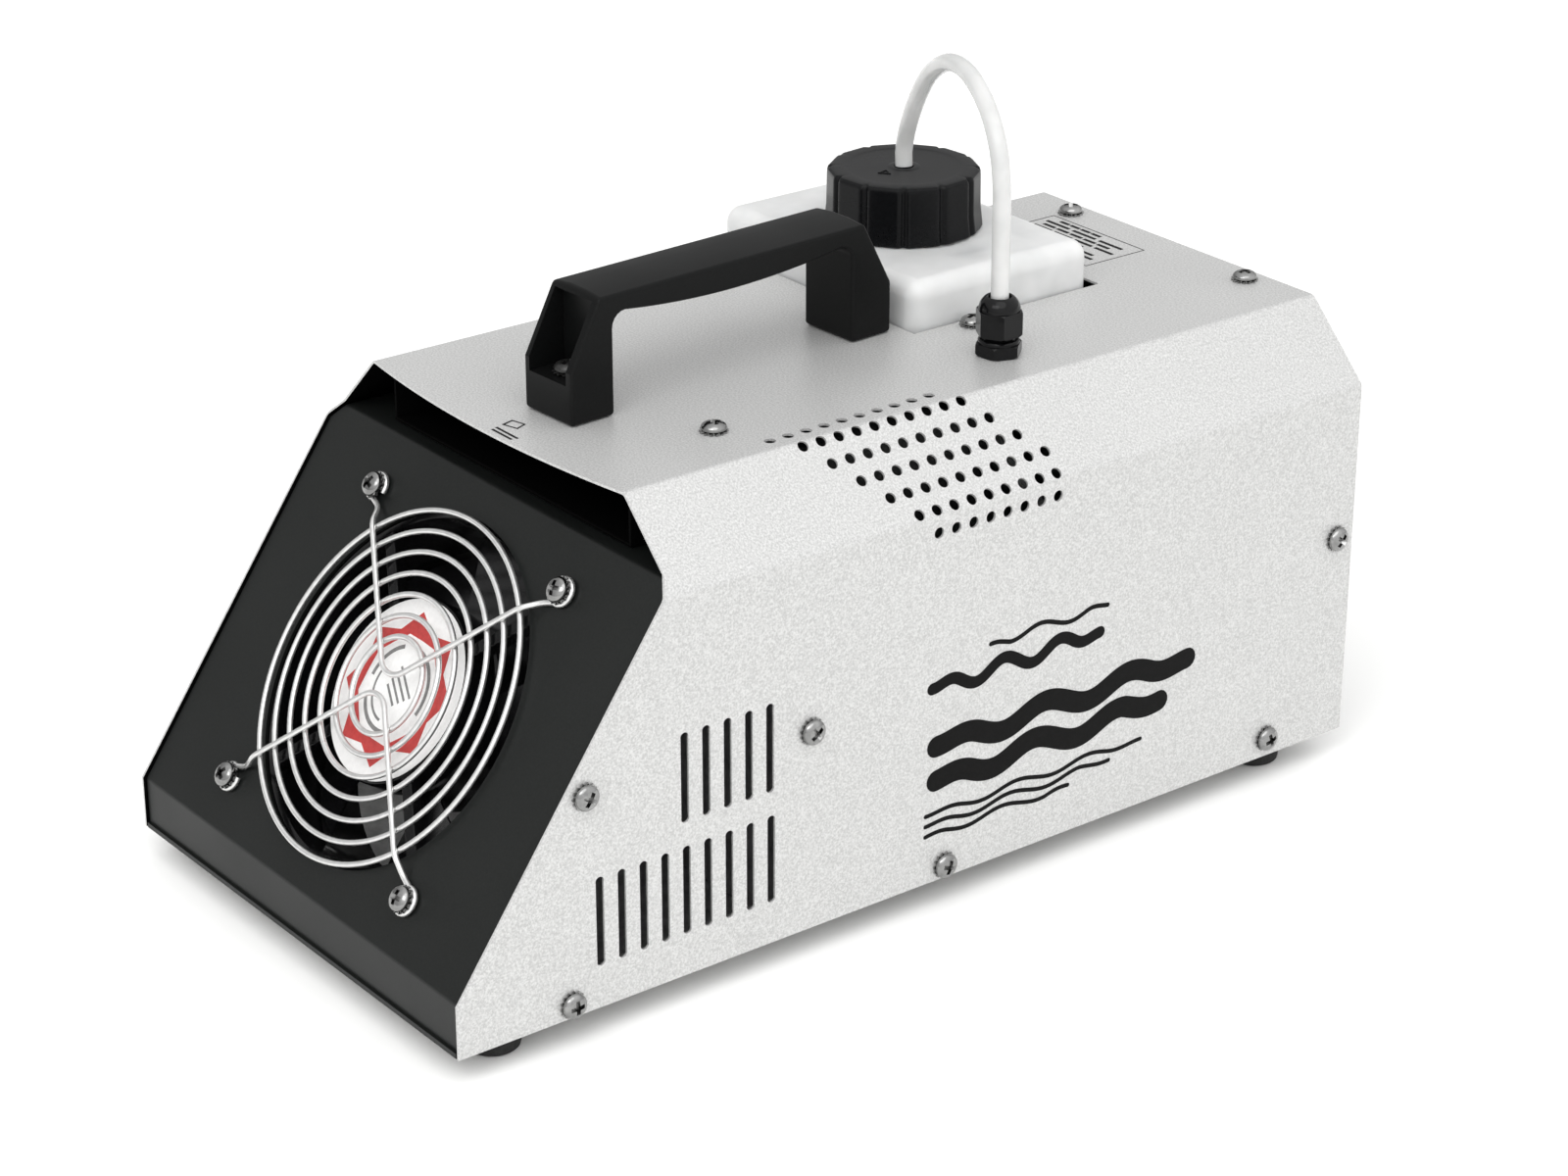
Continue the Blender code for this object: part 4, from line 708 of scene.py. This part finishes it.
def make_feet():
    profile = [(0, -10), (6.2, -10), (7.6, -9.8), (8.4, -9.1), (8.7, -8), (9, -0.8), (8.7, -0.3), (3, -0.3),
               (3, 1.5), (4.2, 1.5), (3.6, 2.6), (2.2, 5), (0, 5)]
    for index in range(1, 5):
        spot = centre_of(f"foot_{index}")
        piece(f"rubber_foot_{index}", placed(turned(profile, 48), shift(spot.x, spot.y)), "rubber",
              stands_for=(f"foot_{index}",))


# Fan and guard, drawn in the fan's own frame: its axis is Z and the panel's face is Z = 0

FAN_SCREW = 52.5
FAN_SCREWS = [(x, y) for x in (-FAN_SCREW, FAN_SCREW) for y in (-FAN_SCREW, FAN_SCREW)]
FAN_SCREW_BORE = 2.3
HUB = 31.0
BORE = 57.5
LABEL_RADIUS = 30.0
WIRE_RADIUS = 0.95
RINGS = [58 - 7 * step for step in range(7)]


def make_fan():
    front, back = -1.5, -39.5
    frame_mesh = prism(rounded_rectangle(59.5, 59.5, 6), 2, back, front)
    holes = [rod(FAN_SCREW_BORE, back - 2, front + 2, 16, spot) for spot in FAN_SCREWS]
    bore = turned([(0, back - 2), (BORE, back - 2), (BORE, front - 1.2), (BORE + 1.2, front + 0.01),
                   (BORE + 1.2, front + 3), (0, front + 3)], 96)
    frame_mesh = carve(frame_mesh, bore, joined(*holes))
    for angle in (45, 135):
        bar = softened(box((-BORE - 1.5, -2.2, front - 6), (BORE + 1.5, 2.2, front - 0.8)), 0.8, 3)
        frame_mesh = carve(frame_mesh, placed(bar, spin(math.radians(angle))), operation="UNION")
    hub = turned([(0, -14), (HUB - 0.6, -14), (HUB, -13.2), (HUB, front - 1.4), (HUB - 0.4, front - 0.4),
                  (HUB - 1.3, front), (0, front)], 96)
    frame_mesh = carve(frame_mesh, hub, operation="UNION")
    piece("fan_housing", placed(frame_mesh, FAN_FRAME), "gloss", stands_for=("fan_frame",))
    make_rotor()
    make_fan_label(front + 0.04)


def make_rotor():
    front, back = -15, -36.5
    hub = turned([(0, back), (HUB - 1.6, back), (HUB - 1, back + 0.8), (HUB - 1, front - 1), (HUB - 2, front),
                  (0, front)], 64)
    middle, inner, outer = (front + back) / 2, HUB - 2.5, BORE - 1.5
    stations, ways = 9, 9
    blades = []
    for blade in range(5):
        points = []
        for station in range(stations):
            part = station / (stations - 1)
            radius = inner + part * (outer - inner)
            half_turn = math.radians(26 + 2 * part)
            lean = (front - back) / 2 * (0.9 - 0.25 * part)
            sweep = 2 * math.pi * blade / 5 + math.radians(8) * part
            for step in range(ways):
                way = 2 * step / (ways - 1) - 1
                angle = sweep + way * half_turn
                camber = 1.6 * (1 - way * way)
                for side in (-1, 1):
                    thick = 1.2 * (1 - 0.6 * abs(way)) * side
                    points.append((*polar(radius, angle), middle + way * lean + camber + thick))
        faces, row = [], 2 * ways
        for station in range(stations - 1):
            a, b = station * row, (station + 1) * row
            for step in range(0, row - 2, 2):
                faces += [[a + step, a + step + 2, b + step + 2, b + step],
                          [a + step + 1, b + step + 1, b + step + 3, a + step + 3]]
            faces += [[a, b, b + 1, a + 1], [a + row - 2, a + row - 1, b + row - 1, b + row - 2]]
        for start in (0, (stations - 1) * row):
            faces += [[start + s, start + s + 1, start + s + 3, start + s + 2] for s in range(0, row - 2, 2)]
        blades.append(mesh_of(points, faces))
    rotor = carve(hub, joined(*blades), operation="UNION")
    piece("fan_blades", placed(rotor, FAN_FRAME), "rotor", "fan_rotor", ("fan_rotor",))


def flat_ring(outer, inner, low, high):
    """A flat closed band between two outlines with the same number of points."""
    count = len(outer)
    points = [(x, y, z) for z in (low, high) for outline in (outer, inner) for x, y in outline]
    faces = []
    for i in range(count):
        j = (i + 1) % count
        faces += [[i, j, count + j, count + i], [2 * count + i, 3 * count + i, 3 * count + j, 2 * count + j],
                  [i, 2 * count + i, 2 * count + j, j], [count + i, count + j, 3 * count + j, 3 * count + i]]
    return mesh_of(points, faces)


def flat_arc(radius, width, first, last, low, high, steps=20):
    """A flat arc-shaped bar; angles are in degrees."""
    outline = []
    for reach, order in ((radius + width / 2, 1), (radius - width / 2, -1)):
        angles = [math.radians(first + (last - first) * step / steps) for step in range(steps + 1)][::order]
        outline += [polar(reach, angle) for angle in angles]
    return prism(outline, 2, low, high)


def make_fan_label(low):
    """A plain disc: an angular red band round grey arcs, with no lettering."""
    disc = turned([(0, low), (LABEL_RADIUS, low), (LABEL_RADIUS, low + 0.12), (0, low + 0.12)], 96)
    piece("fan_label", placed(disc, FAN_FRAME), "white_label")
    print_low, print_high = low + 0.13, low + 0.17
    tilt = math.radians(12)
    outer, inner = [], []
    for index in range(16):
        angle = tilt + 2 * math.pi * index / 16
        outer.append(polar((25.8, 20.6)[index % 2], angle))
        inner.append(polar((18.4, 17.2)[index % 2], angle + 0.16))
    piece("fan_label_band", placed(flat_ring(outer, inner, print_low, print_high), FAN_FRAME), "red_print")
    spans = ((14.2, 1.4, 20, 120), (14.2, 1.4, 150, 215), (14.2, 1.4, 240, 330), (11.2, 0.9, 30, 110),
             (11.2, 0.9, 200, 300))
    arcs = [flat_arc(*span, print_low, print_high) for span in spans]
    for step in range(4):
        half = 6.4 - 0.7 * step
        arcs.append(box((-half, 3.6 - 2.4 * step, print_low), (half, 4.5 - 2.4 * step, print_high)))
    piece("fan_label_lines", placed(joined(*arcs), FAN_FRAME, spin(math.radians(-35))), "grey_print")


def guard_strut_path(up):
    """One V-shaped wire: a loop round each screw, a rise, and a rounded point near the centre."""
    screw = math.sqrt(2) * FAN_SCREW
    bend = 9
    centre = up * math.sqrt(2) * bend
    arm = []
    for step in range(17):
        angle = math.radians(210 + 300 * step / 16)
        arm.append((screw + 4.2 * math.cos(angle), 4.2 * math.sin(angle), 1.3))
    arm = arm[::-1]
    arm += [(screw - 8, 0, 1.3), (RINGS[0] + 1.5, 0, 4.7), (bend + 1, 0, 4.7)]

    def turned_arm(mirror):
        return [Vector((mirror * (along - across) / math.sqrt(2), up * (along + across) / math.sqrt(2), lift))
                for along, across, lift in arm]

    corner = []
    for step in range(13):
        angle = math.radians(-45 + 7.5 * step)
        corner.append(Vector((-bend * math.sin(angle), centre - up * bend * math.cos(angle), 4.7)))
    return eased(turned_arm(1) + corner + turned_arm(-1)[::-1], 2.4)


def make_guard():
    shapes = [swept([(x, y, 3.1) for x, y in circle(120, radius)], WIRE_RADIUS, closed=True)
              for radius in RINGS]
    shapes += [swept(guard_strut_path(up), WIRE_RADIUS) for up in (1, -1)]
    piece("guard_wires", placed(joined(*shapes), FAN_FRAME), "wire", stands_for=("fan_guard",))
    shape = screw_mesh(length=12, shank=1.9, collar=2.4)
    for index, (x, y) in enumerate([(-1, 1), (1, 1), (-1, -1), (1, -1)], 1):
        place = shift(x * FAN_SCREW, y * FAN_SCREW, 2.35) @ spin(0.7 * index)
        fasten(f"guard_fastener_{index}", f"guard_screw_{index}", shape, FAN_FRAME, place)


# Tank, cap and gland

def rounded_box(low, high, radius, segments=8):
    return edited([box(low, high)], lambda work: bmesh.ops.bevel(
        work, geom=work.edges[:], offset=radius, segments=segments, profile=0.5, affect="EDGES"))


def make_tank():
    left, right, front, rear, bottom, top = -91.0, 16.2, 236.6, 314.5, 60.6, 170.0

    def dent_top(work):
        flat = [edge for edge in work.edges if edge.calc_length() > 30]
        bmesh.ops.subdivide_edges(work, edges=flat, cuts=15, use_grid_fill=True)
        for vertex in work.verts:
            if vertex.co.z > top - 0.01:
                dent = math.hypot((vertex.co.x + 2.5) / 9, (vertex.co.y - 276) / 17)
                vertex.co.z -= 1.5 * max(0.0, 1 - dent * dent) ** 2

    shell = edited([rounded_box((left, front, bottom), (right, rear, top), 6)], dent_top)
    neck = turned([(0, top - 6), (21.5, top - 6), (21.5, top - 0.6), (20.6, top + 0.2), (20, top + 1.2),
                   (20, 182.2), (19.4, 183), (0, 183)], 64)
    neck = placed(neck, AT_CAP)
    tank = carve(shell, neck, operation="UNION")
    inside = rounded_box((left + 2, front + 2, bottom + 2), (right - 2, rear - 2, top - 2), 4, 4)
    bore = placed(rod(18, top - 7, 190, 64), AT_CAP)
    tank = carve(tank, inside, bore)
    piece("fluid_tank", tank, "milky", "tank", ("tank",), smooth=40)


def make_cap():
    radius, low, high = 26, 170.4, 191.0
    facets = 12
    first = math.radians(20.6)

    def radius_at(reach, angle):
        turn = (angle - first) % (2 * math.pi / facets)
        away = min(turn, 2 * math.pi / facets - turn)
        flat = 1.0 * (1 - math.cos(math.pi / facets - away))
        groove = 0.058 * math.exp(-(away / 0.040) ** 2)
        weight = min(1.0, max(0.0, (reach - 21) / 3))
        return reach * (1 + weight * (flat - groove))

    profile = [(0, low + 0.5), (22, low + 0.5), (22, low), (26.6, low), (26.9, low + 0.4), (26.6, low + 3),
               (radius + 0.15, low + 7), (radius, high - 2.0), (radius - 0.35, high - 0.9),
               (radius - 1.1, high - 0.25), (radius - 2.2, high), (20, high - 0.05), (19.4, high - 0.25),
               (6, high - 0.25), (5.4, high - 0.05), (0, high - 0.05)]
    cap = turned(profile, 360, radius_at)
    cap = carve(cap, rod(21, low - 5, high - 3, 64), rod(3.4, high - 6, high + 5, 32))
    mark = placed(flat_ring(circle(3, 2.6), circle(3, 1.9), high - 0.3, high + 0.05),
                  shift(1.5, -9.5), spin(math.radians(130)))
    piece("screw_cap", placed(joined(cap, mark), AT_CAP), "cap", "cap", ("tank_cap",),
          smooth=28)


def make_gland():
    corner = 14 / math.sqrt(3)
    place = shift(GLAND_X, GLAND_DEPTH, TOP + 0.3)

    def hexagon(low, high, start):
        mesh = prism(circle(6, corner, start=math.radians(start)), 2, low, high)
        half = [(0, -1), (corner - 1.3, -1), (corner - 0.55, 0), (corner + 0.1, 0.7)]
        cone = turned([(r, low + h) for r, h in half] + [(r, high - h) for r, h in half[::-1]], 64)
        return softened(carve(mesh, cone, operation="INTERSECT"), 0.22, 2, 25)

    threads = [(3.8, -8), (5.4, -8)]
    height = -7.6
    while height < 11.6:
        threads += [(5.4, height), (5.05, height + 0.4)]
        height += 0.8
    threads += [(5.4, 12), (3.8, 12)]
    body = joined(turned(threads, 48), carve(hexagon(0, 4, 9), rod(3.8, -3, 8, 32)),
                  turned([(5.2, 3.9), (6.9, 3.9), (6.9, 4.9), (6.5, 5.3), (5.2, 5.3)], 48))
    dome = [(3.7, 13), (6.8, 13), (6.95, 15.0), (6.9, 16.0), (6.55, 17.3), (6.0, 18.3), (5.2, 19.2),
            (4.6, 19.65), (4.1, 19.8), (3.75, 19.6)]
    nut = joined(carve(hexagon(6.8, 15.2, 31), rod(5.7, 0, 20, 48)), turned(dome, 64))
    for name, mesh, node in (("gland_base", body, "gland_body"), ("gland_cap", nut, "gland_nut")):
        piece(name, placed(mesh, place), "gloss", stands_for=(node,), smooth=30)


# Handle

HANDLE_LENGTH, HANDLE_WIDTH, HANDLE_HEIGHT, HANDLE_LEG, HANDLE_SILL = 132.8, 24.2, 40.5, 17, 13
HANDLE_FRAME = shift(3.0, 163.5, TOP + 0.3) @ spin(math.radians(3.1))
HANDLE_SCREW_REACH, HANDLE_BORE = 58.5, 2.8


def handle_screw_places():
    return [HANDLE_FRAME @ Vector((0, way * HANDLE_SCREW_REACH, HANDLE_SILL + 0.3)) for way in (-1, 1)]


def make_handle():
    """A bridge handle with open pockets over its screws in the sloped ends. Its grip is slightly crowned."""
    half, leg = HANDLE_LENGTH / 2, HANDLE_LEG
    cheek, slope, under, middle, fillet = 17.5, 11.7, 33.5, 30.3, 5
    outline = [(-half, 0), (-half, cheek), (-half + slope, HANDLE_HEIGHT), (half - slope, HANDLE_HEIGHT),
               (half, cheek), (half, 0), (half - leg, 0)]
    quarter = [math.pi / 2 * step / 5 for step in range(6)]
    corner = [(half - leg - fillet * (1 - math.cos(angle)), under - fillet + fillet * math.sin(angle))
              for angle in quarter]
    outline += corner
    for step in range(1, 16):
        along = 1 - 2 * step / 16
        outline.append(((half - leg - fillet) * along, middle + (under - middle) * along ** 2))
    outline += [(-y, z) for y, z in corner[::-1]] + [(leg - half, 0)]
    wide = HANDLE_WIDTH / 2
    stations = [(-wide, -0.9), (-3.5, 0), (4.5, -0.1), (wide, -0.9)]
    count = len(outline)
    points = [(x, y, z + (drop if z >= HANDLE_HEIGHT - 0.01 else 0))
              for x, drop in stations for y, z in outline]
    faces = [list(range(count)), list(range(3 * count, 4 * count))]
    for band in range(3):
        faces += [[band * count + i, band * count + (i + 1) % count, (band + 1) * count + (i + 1) % count,
                   (band + 1) * count + i] for i in range(count)]
    handle = softened(mesh_of(points, faces), 1.3, 3, 28)
    pocket_half = wide - 2.8
    pockets = []
    for way in (-1, 1):
        near, far = sorted((way * (half + 3), way * (half - leg + 3)))
        pockets.append(box((-pocket_half, near, HANDLE_SILL), (pocket_half, far, HANDLE_HEIGHT - 2.2)))
    holes = [rod(HANDLE_BORE, -5, HANDLE_SILL + 3, 24, (0, way * HANDLE_SCREW_REACH)) for way in (-1, 1)]
    handle = carve(handle, joined(*pockets), joined(*holes))
    piece("carry_handle", placed(handle, HANDLE_FRAME), "moulded", stands_for=("handle",),
          smooth=24)
    screw = screw_mesh(length=14.5, shank=2.4, head=4.4, rise=3.6)
    for index, place in enumerate(handle_screw_places(), 1):
        fasten(f"handle_fastener_{index}", f"handle_screw_{index}", screw, shift(*place),
               material="dark_steel")


# Prints: plain graphics without lettering

def ribbon(course, width, steps_round=8):
    """A flat stroke with round ends along a course of (depth, height) points, as an outline."""
    course = [Vector(point) for point in course]
    left, right = [], []
    for index, point in enumerate(course):
        along = (course[min(index + 1, len(course) - 1)] - course[max(index - 1, 0)]).normalized()
        side = Vector((-along.y, along.x)) * width / 2
        left.append(point + side)
        right.append(point - side)
    outline = []
    for points, centre in ((left, course[-1]), (right[::-1], course[0])):
        outline += points
        spoke = points[-1] - centre
        for step in range(1, steps_round):
            outline.append(centre + Matrix.Rotation(-math.pi * step / steps_round, 2) @ spoke)
    return [tuple(point) for point in outline]


def wave(first, last, height, amplitude, period, lead=0.0, count=90):
    result = []
    for step in range(count + 1):
        depth = first + (last - first) * step / count
        fade = min(1.0, 6 * step / count, 6 * (1 - step / count))
        phase = 2 * math.pi * ((depth - first) / period + lead)
        result.append((depth, height + amplitude * fade * math.sin(phase)))
    return result


def make_side_graphic():
    strokes = [(wave(181, 252, 69.5, 2.6, 24), 4.2), (wave(205, 255, 78.5, 1.5, 25, 0.4), 1.6),
               (wave(183, 292, 48.6, 2.7, 37), 7.6), (wave(183, 280, 36.4, 2.7, 37, 0.12), 7.6),
               (wave(179, 272, 24.6, 1.3, 31), 1.5), (wave(179, 258, 20.9, 1.3, 31, 0.1), 1.5),
               (wave(179, 240, 17.2, 1.3, 31, 0.2), 1.5)]
    shapes = [prism(ribbon(course, width), 0, HALF + 0.02, HALF + 0.08) for course, width in strokes]
    piece("side_graphic", joined(*shapes), "black_print")


def make_top_prints():
    low, high = TOP + 0.02, TOP + 0.07
    left, right, front, rear = -47.0, 1.2, 325.7, 353.3
    line = 0.35
    frames = [[(left + inset, front + inset), (right - inset, front + inset), (right - inset, rear - inset),
               (left + inset, rear - inset)] for inset in (0, line)]
    shapes = [flat_ring(*frames, low, high)]
    rows = [(0.08, 0.92), (0.05, 0.95), (0.12, 0.88), (0.06, 0.70), (0.06, 0.96), (0.10, 0.84), (0.06, 0.93),
            (0.14, 0.60)]
    for index, (start, end) in enumerate(rows):
        depth = front + 2.4 + index * 3.1
        cuts = 3 + index % 3
        for part in range(cuts):
            a, b = (left + (right - left) * (start + (end - start) * place / cuts)
                    for place in (part, part + 0.86))
            shapes.append(box((a, depth, low), (b, depth + 1.45, high)))
    piece("rear_label_print", joined(*shapes), "black_print")
    shapes = [flat_ring([(2.2, 82.6), (8.4, 84.4), (6.6, 88.8), (0.9, 87.4)],
                        [(2.8, 83.4), (7.5, 84.8), (6.2, 88.1), (1.8, 86.9)], low, high),
              box((3.0, 79.6, low), (15.0, 80.5, high)), box((3.6, 77.7, low), (14.4, 78.6, high))]
    piece("front_mark_print", joined(*shapes), "black_print")


# Rear fittings, drawn facing +Z and turned to face the rear

REAR_PLATE = 366.8
REAR_GAP = 0.3


def rear_matrix(x, height):
    return shift(x, REAR_PLATE + REAR_GAP, height) @ spin(math.pi) @ Matrix.Rotation(math.radians(90), 4, "X")


def make_xlr(name, x, male):
    place = rear_matrix(x, 38)
    flange = softened(prism(rounded_rectangle(13, 15.5, 2.5), 2, 0, 1.8), 0.3, 2, 40)
    shell = carve(flange, rod(9.5, -5, 5, 64))
    barrel = turned([(9.5, -20), (11.5, -20), (11.5, 1.5), (10.9, 2.4), (10.1, 2.6), (9.5, 2.2)], 64)
    head = turned([(0, 1.6), (2.6, 1.6), (2.5, 2.1), (0, 2.5)], 24)
    screws = [placed(head, shift(*spot)) for spot in ((-9.8, 12.2), (9.8, -12.2))]
    piece(f"{name}_shell", placed(joined(shell, barrel, *screws), place), "socket", stands_for=(name,))
    poles = [polar(4.2, math.radians(angle)) for angle in (150, 30, 270)]
    if male:
        insert = turned([(0, -15), (9.5, -15), (9.5, -13), (0, -13)], 64)
        pin = turned([(0, -15), (1.2, -15), (1.2, -5.6), (0.7, -5), (0, -5)], 20)
        pins = [placed(pin, shift(*pole)) for pole in poles]
        piece(f"{name}_pins", placed(joined(*pins), place), "pin")
    else:
        insert = turned([(0, -15), (8.2, -15), (8.2, 0.6), (7.6, 1.2), (0, 1.2)], 64)
        insert = carve(insert, joined(*[rod(1.4, -12, 5, 20, pole) for pole in poles]))
    piece(f"{name}_insert", placed(insert, place), "moulded")


def make_rear():
    make_xlr("xlr_in", 18, male=True)
    make_xlr("xlr_out", 58, male=False)
    pins = [softened(box((x - 0.9, y - 2.1, -18), (x + 0.9, y + 2.1, -6.8)), 0.35, 2)
            for x, y in ((-7, -12), (0, -8), (7, -12))]
    piece("inlet_pins", placed(joined(*pins), rear_matrix(-60, 38)), "pin")
    glass = softened(prism(rounded_rectangle(21.6, 6.2, 0.8), 2, 0.75, 1.2), 0.12, 1)
    piece("display_glass", placed(glass, rear_matrix(0, 110)), "glass")
    marks = []
    for x, angle in ((-24, 0), (-8, 180), (8, 0), (24, 180)):
        outline = circle(3, 1.6, (x, 76.4), math.radians(90 + angle))
        marks.append(prism(outline, 1, REAR_PLATE + 0.02, REAR_PLATE + 0.08))
    piece("button_marks", joined(*marks), "white_label")
    dress("moulded", "power_inlet", "fuse_drawer", "display", "switch_housing", bevel=0.35)
    dress("grey_plastic", "power_rocker", "button_menu", "button_down", "button_up", "button_enter",
          bevel=0.3)
    dress("black_paint", "rear_panel", bevel=0.25)


def dress_inside():
    dress("zinc", "base_tray", "tank_shelf", "bulkhead")
    # painted shade: the outlet duct gets the near-black material so the outlet opening reads as shade
    dress("lining", "outlet_duct")
    dress("cast", "heater_block", "pump_body")
    dress("steel", "pump_plunger")
    dress("board", "control_board")
    dress("hose", "feed_line")


# Studio, in metres

FLOOR_HALF = 60


def make_studio():
    floor = mesh_of([(x * FLOOR_HALF, y * FLOOR_HALF, 0) for x, y in ((-1, -1), (1, -1), (1, 1), (-1, 1))],
                    [[0, 1, 2, 3]])
    floor.materials.append(MATERIALS["floor"])
    add_object("floor", floor)

    world = bpy.data.worlds.new("studio")
    bpy.context.scene.world = world
    world.use_nodes = True
    tree = world.node_tree
    coordinates = tree.nodes.new("ShaderNodeTexCoord")
    toward = tree.nodes.new("ShaderNodeVectorMath")
    toward.operation = "DOT_PRODUCT"
    toward.inputs[1].default_value = Vector((0.66, -0.10, 0.78)).normalized()
    tree.links.new(coordinates.outputs["Generated"], toward.inputs[0])
    strength = tree.nodes.new("ShaderNodeMapRange")
    for name, value in {"From Min": -0.35, "From Max": 0.75, "To Min": 0.48, "To Max": 1.30}.items():
        strength.inputs[name].default_value = value
    tree.links.new(toward.outputs["Value"], strength.inputs["Value"])
    tree.nodes["Background"].inputs["Color"].default_value = (1, 1, 1, 1)
    tree.links.new(strength.outputs["Result"], tree.nodes["Background"].inputs["Strength"])

    def lamp(name, kind, energy, direction, distance=2.2, **values):
        light = bpy.data.lights.new(name, kind)
        light.energy = energy
        for key, value in values.items():
            setattr(light, key, value)
        holder = add_object(name, light)
        direction = Vector(direction).normalized()
        holder.location = direction * distance
        holder.rotation_mode = "QUATERNION"
        holder.rotation_quaternion = direction.to_track_quat("Z", "Y")

    lamp("key", "SUN", 0.75, (0.62, -0.35, 1.05), angle=math.radians(50))
    lamp("softbox", "AREA", 4, (0.35, -0.75, 0.8), 1.6, shape="RECTANGLE", size=0.9, size_y=0.6)
    bpy.context.scene.view_settings.view_transform = "Standard"


make_camera()
make_hose()
make_pickup()
make_hood()
make_front_panel()
make_screws()
make_feet()
make_fan()
make_guard()
make_tank()
make_cap()
make_gland()
make_handle()
make_side_graphic()
make_top_prints()
make_rear()
dress_inside()
make_studio()
